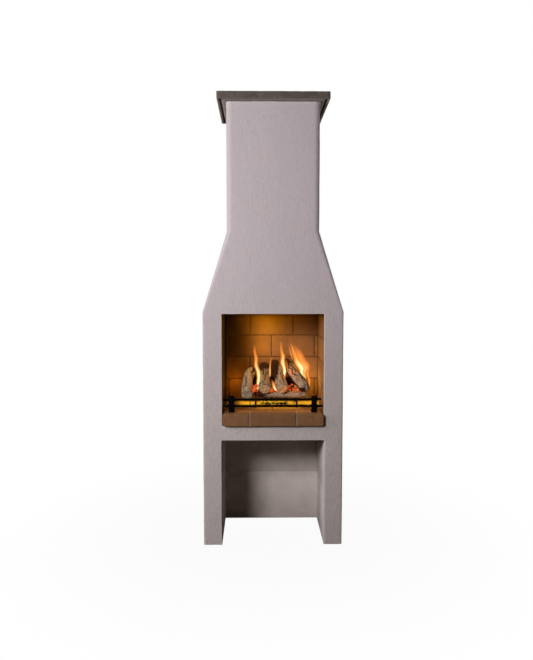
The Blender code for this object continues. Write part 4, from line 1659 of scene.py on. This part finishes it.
@dataclass
class LogPile:
    """Two lying logs and four that lean on them."""

    sides: int = 96
    step: float = 0.003
    lobe: float = 0.07
    third_lobe: float = 0.7
    ridge: float = 0.0022
    ridge_width: float = 0.007
    ridge_length: float = 0.028
    fibre: Point = (0.004, 0.004, 0.009)
    fibre_share: float = 0.6
    bulge: float = 0.035
    knot: float = 0.014
    knot_share: float = 0.6
    swelling: float = 0.09
    cleft_swelling: float = 0.03
    cleft_facing: float = 0.15
    furrow_start: float = 0.1
    furrow_share: float = 0.6
    furrow_shade: float = 1.3
    scar_wander: float = 0.25
    scar_wave: float = 0.02
    scar_run: float = 0.06
    girth: float = 0.031
    cap_rings: int = 9
    cap_sizes: Span = (0.06, 0.92)
    thinnest: float = 0.004
    saw_marks: float = 0.0028
    saw_width: float = 0.010
    sawn_fade: Span = (0.9, 0.4)
    leaning_top: float = 0.868
    logs: tuple[Log, ...] = (
        Log(
            "log_front",
            (-0.077, -0.105, 0.7507),
            (0.173, -0.105, 0.7507),
            (
                (0.0, 11, 0, -1),
                (0.15, 15, 0, 0),
                (0.35, 13, 2, -1),
                (0.55, 15.5, 0, 0),
                (0.8, 16, -2, 1),
                (1.0, 10, 0, -2),
            ),
            Slot.BIRCH,
            1,
            lambda t, up, side: (
                0.5 * smooth(0.33, 0.12, t) + 0.16 * np.sin(9 * t + 2) + 0.1 - 0.1 * up
            ),
            ends=(6.0, 6.0),
            sawn=0.5,
            scars=(Scar(1.2, 0.1, 0.45, 0.004), Scar(2.4, 0.55, 0.9, 0.004)),
        ),
        Log(
            "log_back",
            (-0.145, 0.050, 0.7787),
            (0.180, 0.050, 0.7787),
            ((0.0, 36, 0, 0), (0.3, 43, 0, 0), (0.6, 40, 0, 0), (1.0, 35, 0, 0)),
            Slot.CHARRED,
            2,
            lambda t, up, side: 0.75 + 0.2 * up,
        ),
        Log(
            "log_left",
            (-0.128, -0.139, 0.762),
            (-0.108, 0.046, 0.8601),
            (
                (0.0, 33, 5, -10),
                (0.2, 32, 7, -5),
                (0.5, 30, 12, -1),
                (0.75, 31, 11, -4),
                (1.0, 27, -2, -7),
            ),
            Slot.BIRCH,
            3,
            lambda t, up, side: 0.08 + 0.85 * smooth(0.78, 0.98, t) * smooth(0.3, -0.7, side),
            ends=(3.0, 8.0),
            sawn=0.0,
            clefts=((0.3, 0.9),),
            scars=(
                Scar(2.35, 0.74, 0.86, 0.009, 0.5),
                Scar(1.35, 0.15, 0.5, 0.003),
                Scar(2.8, 0.3, 0.65, 0.005, 0.3),
            ),
        ),
        Log(
            "log_middle_left",
            (-0.041, -0.1468, 0.785),
            (-0.044, 0.0966, leaning_top),
            (
                (0.0, 30, 0, 0),
                (0.12, 31, 0, 1),
                (0.4, 24, -2, 1),
                (0.7, 27, -4, 6),
                (0.9, 31, -6, 9),
                (1.0, 27, -6, 10),
            ),
            Slot.CHARRED,
            4,
            lambda t, up, side: smooth(0.45, 0.95, t + 0.08 * side),
            ends=(5.0, 8.0),
            clefts=((2.2, 0.88), (0.9, 0.92)),
            scars=(
                Scar(1.75, 0.25, 0.95, 0.005),
                Scar(1.1, 0.5, 0.98, 0.007, 0.3),
                Scar(2.3, 0.55, 0.95, 0.006, 0.25),
            ),
        ),
        Log(
            "log_middle_right",
            (0.050, -0.1468, 0.785),
            (0.014, 0.0966, leaning_top),
            (
                (0.0, 29, 0, 0),
                (0.15, 32, 0, 3),
                (0.45, 26, -3, 8),
                (0.75, 28, 0, 17),
                (1.0, 26, 2, 24),
            ),
            Slot.CHARRED,
            5,
            lambda t, up, side: smooth(0.34, 0.9, t + 0.30 * side),
            ends=(5.0, 8.0),
            clefts=((2.0, 0.9),),
            scars=(
                Scar(1.4, 0.45, 0.98, 0.007, 0.3),
                Scar(0.8, 0.3, 0.9, 0.006),
                Scar(2.1, 0.1, 0.5, 0.003),
            ),
        ),
        Log(
            "log_right",
            (0.158, -0.1468, 0.785),
            (0.083, 0.0966, leaning_top),
            (
                (0.0, 30, -6, 6),
                (0.15, 34, -8, 6),
                (0.5, 35, -2, 12),
                (0.8, 31, 4, 22),
                (1.0, 24, 6, 32),
            ),
            Slot.CHARRED,
            6,
            # Char at the top end; the lower left side is darkened partly as char and partly as painted
            # shade.
            lambda t, up, side: np.maximum(
                smooth(0.58, 0.96, t + 0.15 * side), smooth(0.45, 1.1, 0.8 * side - up)
            ),
            squash=0.86,
            roll=0.35,
            ends=(9.0, 7.0),
            sawn=0.0,
            scars=(
                Scar(1.75, 0.16, 0.34, 0.012, 0.30),
                Scar(2.1, 0.10, 0.22, 0.008, 0.30),
                Scar(0.6, 0.35, 0.95, 0.006),
                Scar(1.2, 0.45, 0.9, 0.003),
            ),
        ),
    )

    def skin(self, log: Log) -> Skin:
        """Shape one log.

        Args:
            log: place and character of the log.

        Returns:
            The skin, with its char, furrows, sawn ends and rings.
        """
        start, end = np.array(log.start), np.array(log.end)
        axis = end - start
        length = float(np.linalg.norm(axis))
        axis = axis / length
        upright = np.array([0.0, 0.0, 1.0])
        upright = upright - axis * (upright @ axis)
        upright /= np.linalg.norm(upright)
        across = np.cross(upright, axis)
        if across[0] > 0:
            across = -across
        ease = np.array(log.ends) * MM
        turn_in = np.array([0.0, 0.08, 0.25, 0.5, 0.78])
        body = np.linspace(ease[0], length - ease[1], math.ceil(length / self.step))
        along = np.concatenate([turn_in * ease[0], body, length - turn_in[::-1] * ease[1]])
        near, far = (np.clip(1 - gap, 0, 1) for gap in (along / ease[0], (length - along) / ease[1]))
        lost = np.maximum(ease[0] * (1 - np.sqrt(1 - near**2)), ease[1] * (1 - np.sqrt(1 - far**2)))
        caps, flat = np.linspace(*self.cap_sizes, self.cap_rings), np.ones(self.cap_rings)
        between = np.ones(len(along))
        along = np.concatenate([flat * 0, along, flat * length])
        lost = np.concatenate([flat * ease[0], lost, flat * ease[1]])
        size = np.concatenate([caps, between, caps[::-1]])
        face = np.concatenate([flat, between * 0, flat])
        t = along / length
        rows = np.array(log.shape)
        place = np.interp(t, rows[:, 0], np.arange(len(rows)))
        low = np.clip(np.floor(place).astype(int), 0, len(rows) - 2)
        share = smooth(0, 1, place - low)[:, None]
        radius, left, lift = ((rows[low] + (rows[low + 1] - rows[low]) * share)[:, 1:] * MM).T
        turns = np.linspace(0, FULL_TURN, self.sides, endpoint=False)
        grid_t, grid_a = np.meshgrid(t, turns, indexing="ij")
        draw = np.random.RandomState(log.seed)
        phases = draw.uniform(0, FULL_TURN, 3)
        second, third = (np.cos(n * grid_a + phases[n - 2]) for n in (2, 3))
        lobes = self.lobe * (second + self.third_lobe * third)
        rolled = [np.cos(grid_a) * self.girth, np.sin(grid_a) * self.girth, grid_t * length]
        circle = np.stack([row.ravel() for row in rolled], -1)
        noise = Noise(500 + log.seed)
        ridges = noise.at(circle, (self.ridge_width, self.ridge_width, self.ridge_length))
        ridges = ridges + self.fibre_share * noise.at(circle + 3.0, self.fibre)
        ridges = ridges.reshape(grid_t.shape)
        knots = self.knot_share * noise.at(circle + 9.0, self.knot)
        swell = noise.at(circle + 7.0, self.bulge) + knots
        swell = swell.reshape(grid_t.shape)
        # The furrow value follows where the skin sinks, so its dark is partly painted shade.
        deep = self.furrow_share * np.clip(-ridges - self.furrow_start, 0, 1)
        pit = np.zeros_like(grid_t)
        for scar in log.scars:
            wander = self.scar_wander * noise.at(circle * np.array([0, 0, 1.0]), self.scar_wave)
            wander = wander.reshape(grid_t.shape)
            gap = np.abs((grid_a - scar.angle - wander + math.pi) % FULL_TURN - math.pi)
            inside = smooth(scar.start - self.scar_run, scar.start, grid_t)
            inside = inside * smooth(scar.end + self.scar_run, scar.end, grid_t)
            wedge = np.clip(1 - gap / scar.width, 0, 1) * inside
            pit += wedge * scar.depth
            deep = np.maximum(deep, wedge)
        solid = radius[:, None] * (1 + lobes + self.swelling * swell)
        for angle, reach in log.clefts:
            facing = np.clip(np.cos(grid_a - angle), self.cleft_facing, 1)
            limit = radius[:, None] * (reach + self.cleft_swelling * swell) / facing
            solid = np.minimum(solid, limit)
        solid = solid - lost[:, None] - self.ridge * 0.5 * (1 - ridges) - pit
        solid = np.maximum(solid, self.thinnest)
        reach = solid * size[:, None]
        disc = circle * size.repeat(self.sides)[:, None]
        saw = self.saw_marks * noise.at(disc + 11.0, self.saw_width)
        saw = saw.reshape(grid_t.shape) * face[:, None]
        cos_roll, sin_roll = math.cos(log.roll), math.sin(log.roll)
        flat_x = reach * np.cos(grid_a)
        flat_y = reach * np.sin(grid_a) * log.squash
        side_way = flat_x * cos_roll - flat_y * sin_roll
        up_way = flat_x * sin_roll + flat_y * cos_roll
        points = (
            start
            + (grid_t * length + saw)[..., None] * axis
            + (side_way + left[:, None])[..., None] * across
            + (up_way + lift[:, None])[..., None] * upright
        )
        skin = ring_tube(points)
        char = np.clip(log.char(grid_t, np.sin(grid_a + log.roll), np.cos(grid_a + log.roll)), 0, 1)
        ends = np.maximum(face, smooth(*self.sawn_fade, 1 - lost / max(ease)))
        return skin.valued(
            char=char.ravel(),
            furrow=np.clip(deep * self.furrow_shade, 0, 1).ravel(),
            sawn=(ends[:, None] * log.sawn * np.ones_like(deep)).ravel(),
            ring=reach.ravel(),
        )

    def build(self, finishes: dict[Slot, Finish]) -> None:
        """Make every log.

        Args:
            finishes: material for each slot that a log can take.
        """
        for log in self.logs:
            piece = make_piece(f"{log.node}_split", self.skin(log), finishes[log.slot], crease=60)
            install(piece, Body.FIRE, log.slot, log.node)


@dataclass
class EmberBed:
    """Charcoal between the lying logs, in heaps on the front one, and bits on the floor."""

    left: float = -0.082
    right: float = 0.162
    lumps: int = 95
    lump_across: Span = (0.08, 0.92)
    lump_size: Span = (0.006, 0.011)
    lump_glow: Span = (0.15, 1.0)
    inset: float = 0.006
    heap_shape: Point = (0.6, 0.3, 0.45)
    heap_size: Span = (0.004, 0.008)
    heap_glow: Span = (0.6, 1.1)
    bits: int = 48
    bit_size: Span = (0.0035, 0.007)
    bit_x: Span = (-0.060, 0.084)
    bit_y: Span = (0.020, 0.076)
    bit_char: Span = (0.25, 0.7)
    bumps: tuple[Span, ...] = ((0.28, 0.9), (0.10, 0.35))
    stretch: Span = (0.75, 1.3)
    flats: int = 4
    flat_reach: float = 0.72
    heaps: tuple[tuple[Point, float, int], ...] = (
        ((-0.096, -0.116, 0.784), 0.018, 30),
        ((0.001, -0.104, 0.770), 0.011, 7),
        ((0.100, -0.092, 0.779), 0.020, 14),
    )

    def lump(self, centre: Sequence[float], size: float, seed: int, glow: float) -> Skin:
        """Return one angular lump of charcoal.

        Args:
            centre: middle of the lump.
            size: mean radius.
            seed: seed of its shape.
            glow: how hot it is, from 0 for cold to about 1.

        Returns:
            The skin of the lump.
        """
        builder = bmesh.new()
        bmesh.ops.create_icosphere(builder, subdivisions=3, radius=1.0)
        points = np.array([v.co[:] for v in builder.verts])
        faces = [tuple(v.index for v in face.verts) for face in builder.faces]
        builder.free()
        draw = np.random.RandomState(seed)
        noise = Noise(900 + seed % 7)
        offset = draw.uniform(0, 20, 3)
        chunk = np.ones(len(points))
        for depth, width in self.bumps:
            chunk += depth * noise.at(points + offset, width)
        stretch = draw.uniform(*self.stretch, 3)
        for normal in draw.normal(size=(self.flats, 3)):
            normal = normal / np.linalg.norm(normal)
            over = np.clip(points @ normal - self.flat_reach, 0, None)
            points = points - normal * over[:, None]
        points = points * chunk[:, None] * stretch * size
        turn = draw.uniform(0, FULL_TURN)
        cos, sin = math.cos(turn), math.sin(turn)
        points = points @ np.array([[cos, -sin, 0], [sin, cos, 0], [0, 0, 1]])
        return Skin(points + np.asarray(centre), faces).valued(glow=glow)

    def build(self, ember: Finish, burnt: Finish) -> None:
        """Scatter the lumps over the bed and the floor below it.

        Args:
            ember: material of the glowing charcoal.
            burnt: material of the half burnt bits that fell from the logs.
        """
        low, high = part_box("ember_bed")
        draw = np.random.RandomState(77)
        skins = []
        for number in range(self.lumps):
            along = (number + draw.uniform(0, 1)) / self.lumps
            across = draw.uniform(*self.lump_across)
            size = draw.uniform(*self.lump_size)
            crown = math.sin(math.pi * along) ** 0.5 * math.sin(math.pi * across)
            x = self.left + along * (self.right - self.left)
            y = low.y + self.inset + across * (high.y - low.y - 2 * self.inset)
            z = low.z + size * 0.9 + draw.uniform(0, 1) * crown * (high.z - low.z - 2 * size)
            glow = draw.uniform(*self.lump_glow)
            skins.append(self.lump((x, y, z), size, 1000 + number, glow))
        for place, spread, count in self.heaps:
            for number in range(count):
                centre = np.array(place) + draw.normal(size=3) * spread * self.heap_shape
                size, glow = draw.uniform(*self.heap_size), draw.uniform(*self.heap_glow)
                skins.append(self.lump(centre, size, 1100 + number, glow))
        piece = make_piece("ember_bed_lumps", joined(skins), ember, crease=35)
        install(piece, Body.FIRE, Slot.EMBERS, "ember_bed")
        floor_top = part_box("floor_brick_course_2")[1].z
        bits = []
        for number in range(self.bits):
            size = draw.uniform(*self.bit_size)
            centre = (draw.uniform(*self.bit_x), draw.uniform(*self.bit_y), floor_top + size * 0.5)
            bit = self.lump(centre, size, 1200 + number, 0.0)
            char = draw.uniform(*self.bit_char)
            bits.append(bit.valued(char=char, furrow=0.0, sawn=0.3, ring=0.0))
        piece = make_piece("fallen_charcoal", joined(bits), burnt, crease=35)
        install(piece, Body.FIREPLACE, Slot.CHARRED)


@dataclass(frozen=True)
class Tongue:
    """One tongue of flame: its plane, then X, Z and half width in mm from the tip down."""

    name: str
    y: float
    path: tuple[tuple[float, float, float], ...]
    heat: float = 1.0
    body: float = 0.95
    sway: float = 0.004


@dataclass
class Fire:
    """Tongues of flame between and behind the logs."""

    sides: int = 40
    steps: int = 8
    depth: float = 0.55
    shift: float = -0.003
    spread: float = 1.55
    flicker: float = 0.2
    flicker_length: float = 0.017
    wander: float = 0.45
    wander_length: float = 0.036
    sway_turn: float = 5.0
    heat_power: int = 5
    body_power: float = 3.6
    heat_span: Span = (0.05, 0.72)
    fade_span: Span = (-0.02, 0.52)
    root_span: Span = (1.0, 0.84)
    tongues: tuple[Tongue, ...] = (
        Tongue(
            "flame_left",
            -0.080,
            (
                (-91, 1012, 0.6),
                (-88, 994, 3.5),
                (-85, 964, 6),
                (-79, 912, 9),
                (-73, 865, 9.5),
                (-70, 836, 8.5),
                (-75, 796, 8),
                (-78, 762, 6),
            ),
        ),
        Tongue(
            "flame_between_logs",
            -0.060,
            ((-3, 944, 0.6), (-4, 927, 2), (-8, 886, 3.2), (-9, 851, 3), (-11, 834, 1.5)),
            heat=0.75,
        ),
        Tongue(
            "flame_middle",
            0.020,
            (
                (48, 1022, 0.6),
                (49, 1006, 3),
                (53, 958, 7.5),
                (58, 910, 11),
                (65, 869, 11.5),
                (70, 839, 9),
                (74, 817, 5),
            ),
        ),
        Tongue(
            "flame_right_core",
            0.062,
            (
                (106, 992, 0.8),
                (115, 962, 6),
                (125, 930, 12),
                (137, 898, 16),
                (152, 866, 16),
                (168, 836, 10),
                (180, 812, 4),
            ),
        ),
        Tongue(
            "flame_right",
            0.072,
            (
                (118, 1006, 0.8),
                (127, 976, 8),
                (139, 942, 16),
                (153, 905, 21),
                (168, 868, 20),
                (183, 830, 12),
                (190, 804, 5),
            ),
            heat=0.62,
            body=0.8,
        ),
        Tongue(
            "flame_right_tip",
            0.078,
            ((104, 1010, 0.6), (108, 990, 4), (115, 962, 7), (124, 932, 9), (134, 900, 5)),
            heat=0.5,
            body=0.75,
        ),
        Tongue(
            "flame_right_wisp",
            0.066,
            ((92, 1000, 0.5), (96, 978, 2.5), (101, 955, 4), (108, 930, 4), (117, 905, 2)),
            heat=0.35,
            body=0.5,
        ),
        Tongue(
            "flame_right_edge",
            0.074,
            (
                (150, 964, 1),
                (163, 934, 7),
                (177, 901, 10),
                (191, 863, 9),
                (201, 825, 6),
                (206, 787, 4),
                (205, 762, 2),
            ),
            heat=0.42,
            body=0.7,
        ),
        Tongue(
            "flame_beside_log",
            -0.030,
            ((75, 928, 0.6), (78, 910, 3), (82, 888, 4.5), (88, 864, 4), (96, 842, 1.5)),
            heat=0.1,
            body=0.42,
        ),
        Tongue(
            "flame_low_middle",
            -0.090,
            ((-5, 831, 1), (7, 803, 7), (17, 779, 9), (23, 768, 4)),
        ),
        Tongue(
            "flame_low_right",
            -0.070,
            ((112, 799, 1), (122, 784, 5), (133, 771, 6), (137, 764, 3)),
        ),
    )

    def skin(self, tongue: Tongue) -> Skin:
        """Shape one tongue as a lens that tapers to its tip.

        Args:
            tongue: path and heat of the tongue.

        Returns:
            The skin, with its heat and how solid it looks.
        """
        path = smooth_path(tongue.path, self.steps) * MM
        x, z, half = path.T
        still = np.stack([x * 0 + tongue.y, x * 0, z], -1)
        half = half * (self.spread + self.flicker * Noise(700).at(still, self.flicker_length))
        wander = Noise(701).at(still, self.wander_length)
        x = x + self.shift + self.wander * half * wander
        slope = np.gradient(path[:, :2], axis=0)
        slope /= np.linalg.norm(slope, axis=1)[:, None]
        side_x, side_z = -slope[:, 1], slope[:, 0]
        turns = np.linspace(0, FULL_TURN, self.sides, endpoint=False)
        share = np.linspace(0, 1, len(path))
        y = tongue.y + tongue.sway * np.sin(share * self.sway_turn)
        cos, sin = np.cos(turns)[None, :], np.sin(turns)[None, :]
        rings = np.stack(
            [
                x[:, None] + half[:, None] * cos * side_x[:, None],
                y[:, None] + half[:, None] * self.depth * sin,
                z[:, None] + half[:, None] * cos * side_z[:, None],
            ],
            -1,
        )
        middle = np.abs(sin) * np.ones_like(x)[:, None]
        fade = smooth(*self.fade_span, share)[:, None]
        root = smooth(*self.root_span, share)[:, None]
        heat = middle**self.heat_power * smooth(*self.heat_span, share)[:, None] * tongue.heat
        body = middle**self.body_power * fade * (0.2 + 0.8 * root) * tongue.body
        return ring_tube(rings).valued(hotness=heat.ravel(), body=body.ravel())

    def build(self, finish: Finish) -> None:
        """Make the tongues.

        Args:
            finish: material of the flames.
        """
        for tongue in self.tongues:
            piece = make_piece(tongue.name, self.skin(tongue), finish, crease=180)
            piece.visible_shadow = False
            install(piece, Body.FIRE, Slot.EMBERS)


@dataclass(frozen=True)
class Glow:
    """Warm lamp inside the fire: its place, power in watts and size."""

    name: str
    place: Point
    power: float
    size: float = 0.025
    colour: str = "#ffc822"


@dataclass(frozen=True)
class SoftLamp:
    """Lamp with a face: its place, what it faces, power in watts and size."""

    name: str
    place: Point
    aim: Point
    power: float
    size: Span
    colour: str = "#ffffff"
    body: Body | None = None


@dataclass
class Studio:
    """Camera, floor, lamps and sky."""

    camera_place: Point = (-0.0850, -3.5664, 1.3461)
    camera_tilt: float = 0.0757
    camera_turn: float = -0.0156
    lens: float = 37.0
    sensor: float = 36.0
    sight: float = 60.0
    floor_half: float = 14.0
    floor_paper: str = "#453e31"
    floor_fade: Span = (0.45, 1.5)
    floor_white: Span = (0.955, 1.0)
    sky_strength: float = 0.028
    sky_tint: str = "#ffe6c0"
    soft_lamps: tuple[SoftLamp, ...] = (
        SoftLamp("key_lamp", (-1.40, -2.525, 1.90), (0.0, 0.0, 1.20), 72.0, (0.9, 0.9)),
        SoftLamp("edge_lamp", (-2.70, -0.95, 1.60), (0.0, 0.0, 1.20), 32.0, (0.9, 0.9)),
        SoftLamp("rear_lamp", (-2.20, 2.40, 2.00), (0.0, 0.0, 1.20), 34.0, (1.0, 1.0)),
        SoftLamp("back_lamp", (1.30, 2.70, 3.60), (0.0, 0.0, 1.30), 118.0, (1.2, 1.2)),
        SoftLamp("side_lamp", (3.10, 0.70, 1.90), (0.0, 0.0, 1.10), 32.0, (1.0, 1.0)),
        SoftLamp(
            "fire_light_floor",
            (0.056, 0.072, 0.692),
            (0.056, 0.072, 0.0),
            0.62,
            (0.46, 0.09),
            "#ffee48",
            Body.FIRE,
        ),
        SoftLamp(
            "fire_light_under_grate",
            (0.03, -0.075, 0.695),
            (0.03, -0.075, 0.0),
            0.10,
            (0.24, 0.05),
            "#ffd848",
            Body.FIRE,
        ),
        SoftLamp(
            "fire_light_hearth",
            (0.01, -0.150, 0.715),
            (0.01, -0.150, 0.0),
            0.14,
            (0.44, 0.07),
            "#ffc060",
            Body.FIRE,
        ),
    )
    glows: tuple[Glow, ...] = (
        Glow("fire_light_wall", (-0.026, 0.048, 1.085), 0.78, 0.03, "#ffd020"),
        Glow("fire_light_low", (-0.045, 0.072, 0.965), 0.31, 0.025, "#ffc224"),
        Glow("fire_light_far_left", (-0.200, 0.075, 0.790), 0.20, 0.02, "#ffb030"),
        Glow("fire_light_far_right", (0.198, 0.060, 0.800), 0.58, 0.02, "#ffd060"),
        Glow("fire_light_right", (0.140, 0.035, 0.960), 0.24, 0.03),
        Glow("fire_light_middle_logs", (-0.008, -0.045, 0.868), 0.022, 0.008, "#ff8c48"),
        Glow("fire_light_front_log", (0.106, -0.180, 0.766), 0.076, 0.015, "#ffa858"),
        Glow("fire_light_left_logs", (-0.072, -0.110, 0.860), 0.028, 0.008, "#ffc070"),
        Glow("fire_light_log_ends", (0.048, -0.205, 0.845), 0.036, 0.020, "#ffb458"),
        Glow("fire_light_right_log", (0.090, -0.060, 0.880), 0.078, 0.010, "#ff8424"),
        Glow("fire_light_over_logs", (0.040, -0.112, 0.903), 0.086, 0.010, "#ffb880"),
    )

    def camera(self) -> None:
        """Set the camera where the photograph was taken from."""
        data = bpy.data.cameras.new("camera")
        data.lens = self.lens
        data.sensor_width = self.sensor
        data.clip_end = self.sight
        camera = linked(data)
        camera.location = self.camera_place
        camera.rotation_euler = (math.pi / 2 - self.camera_tilt, 0.0, self.camera_turn)
        bpy.context.scene.camera = camera

    def floor(self) -> None:
        """Lay a pale floor that fades to white and keeps a soft shadow."""
        material, tree = new_tree("studio_floor_paper")
        place = add_node(tree, Node.PLACE).outputs["Object"]
        distance = add_node(tree, Node.VECTOR, {0: place}, operation="LENGTH")
        (near, far), (dim, white) = self.floor_fade, self.floor_white
        fade = {"Value": distance, "From Min": near, "From Max": far, "To Min": dim, "To Max": white}
        seen = add_node(tree, Node.RAY).outputs["Is Camera Ray"]
        faded = {0: seen, 1: add_node(tree, Node.RAMP, fade)}
        share = add_node(tree, Node.MATH, faded, operation="MULTIPLY")
        paper = add_node(tree, Node.PAPER, {"Color": srgb(self.floor_paper)})
        light = add_node(tree, Node.LIGHT, {"Strength": 1.0})
        shader = add_node(tree, Node.BLEND, {0: share, 1: paper, 2: light})
        add_node(tree, Node.OUTPUT, {"Surface": shader})
        half = self.floor_half
        corners = [(-half, -half, 0), (half, -half, 0), (half, half, 0), (-half, half, 0)]
        mesh = bpy.data.meshes.new("studio_floor")
        mesh.from_pydata(corners, [], [(0, 1, 2, 3)])
        mesh.materials.append(material)
        floor = linked(mesh)

    def sky(self) -> None:
        """Light the scene evenly, with a white background in view."""
        world = bpy.data.worlds.new("studio_sky")
        world.use_nodes = True
        tree = world.node_tree
        tree.nodes.clear()
        rays = add_node(tree, Node.RAY).outputs
        shown: Source = rays["Is Camera Ray"]
        for name in ("Is Glossy Ray", "Is Transmission Ray"):
            shown = add_node(tree, Node.MATH, {0: shown, 1: rays[name]}, operation="MAXIMUM")
        power = {"Value": shown, "To Min": self.sky_strength, "To Max": 1.0}
        tints = {0: shown, 6: srgb(self.sky_tint), 7: srgb("#ffffff")}
        tint = add_node(tree, Node.MIX, tints, data_type="RGBA")
        light = {"Color": tint, "Strength": add_node(tree, Node.RAMP, power)}
        add_node(tree, Node.SKY_OUTPUT, {"Surface": add_node(tree, Node.SKY, light)})
        bpy.context.scene.world = world

    def lamps(self) -> None:
        """Hang the soft lamps and put the fire's own light in place."""
        for lamp in self.soft_lamps:
            data = bpy.data.lights.new(lamp.name, "AREA")
            data.shape = "DISK" if lamp.size[0] == lamp.size[1] else "RECTANGLE"
            data.size, data.size_y = lamp.size
            data.energy = lamp.power
            data.color = srgb(lamp.colour)[:3]
            aim = Vector(lamp.aim) - Vector(lamp.place)
            turn = aim.to_track_quat("-Z", "Y").to_euler()
            self.hang(data, lamp.place, turn, lamp.body)
        for glow in self.glows:
            data = bpy.data.lights.new(glow.name, "POINT")
            data.energy = glow.power
            data.color = srgb(glow.colour)[:3]
            data.shadow_soft_size = glow.size
            self.hang(data, glow.place, (0.0, 0.0, 0.0), Body.FIRE)

    def hang(
        self, data: bpy.types.Light, place: Point, turn: Sequence[float], body: Body | None
    ) -> None:
        """Put one lamp in the scene.

        Args:
            data: light settings.
            place: where it hangs.
            turn: its rotation.
            body: body that it rides on, if any.
        """
        lamp = linked(data)
        lamp.location = place
        lamp.rotation_euler = turn
        if body:
            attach(lamp, body.value)

    def build(self) -> None:
        """Set up the whole studio."""
        self.camera()
        self.floor()
        self.sky()
        self.lamps()
        bpy.context.scene.view_settings.view_transform = "Standard"


def main() -> None:
    """Build every piece."""
    logging.basicConfig(level=logging.INFO, format="%(message)s")
    Studio().build()
    pumice = MouldedStone("pumice_concrete_cast", "#ccbfbc", "#d6cac7", "#bfb2ae", grit_share=0.2)
    stone = MouldedStone(
        "cast_stone_dark", "#594f4a", "#746b65", "#4b423e", grit_share=0.25, grit_mm=4.5, relief_mm=1.6
    )
    sooty = FineGrain(
        "fire_mortar_sooty", "#4a3320", "#5a3f29",
        roughness=0.95, metallic=0.0, specular=0.1,
        patch_mm=30.0, grain_mm=1.5, relief_mm=0.6,
    )
    clean = FineGrain(
        "fire_mortar_struck", "#80695a", "#8c7566",
        roughness=0.95, metallic=0.0, specular=0.15,
        patch_mm=20.0, grain_mm=1.5, relief_mm=0.6,
    )
    paint = FineGrain(
        "steel_stove_paint", "#040303", "#080606",
        roughness=0.8, metallic=0.0, specular=0.03,
        patch_mm=25.0, grain_mm=1.0, relief_mm=0.15,
    )
    iron = FineGrain(
        "iron_sand_cast", "#2a2421", "#3f2e25",
        roughness=0.75, metallic=0.6, specular=0.5,
        patch_mm=12.0, grain_mm=1.6, relief_mm=0.5,
    )
    charred = BurningLog("bark_split_log", "#6f5d4e", "#aa967f", "#38261a")
    birch = BurningLog("birch_bark_split_log", "#977e66", "#b8a187", "#584534")
    brick = Firebrick().material()
    ember = GlowingCharcoal().material()
    Modules().build(pumice.material())
    RenderCoat().build(BrushedRender().material())
    CapSlab().build(stone.material())
    Brickwork().build(brick, sooty.material())
    HearthRow().build(brick, clean.material())
    GuardRail().build(paint.material())
    Grate().build(iron.material())
    finishes = {Slot.CHARRED: charred.material(), Slot.BIRCH: birch.material()}
    LogPile().build(finishes)
    EmberBed().build(ember, finishes[Slot.CHARRED])
    Fire().build(WoodFlame().material())


if __name__ == "__main__":
    main()
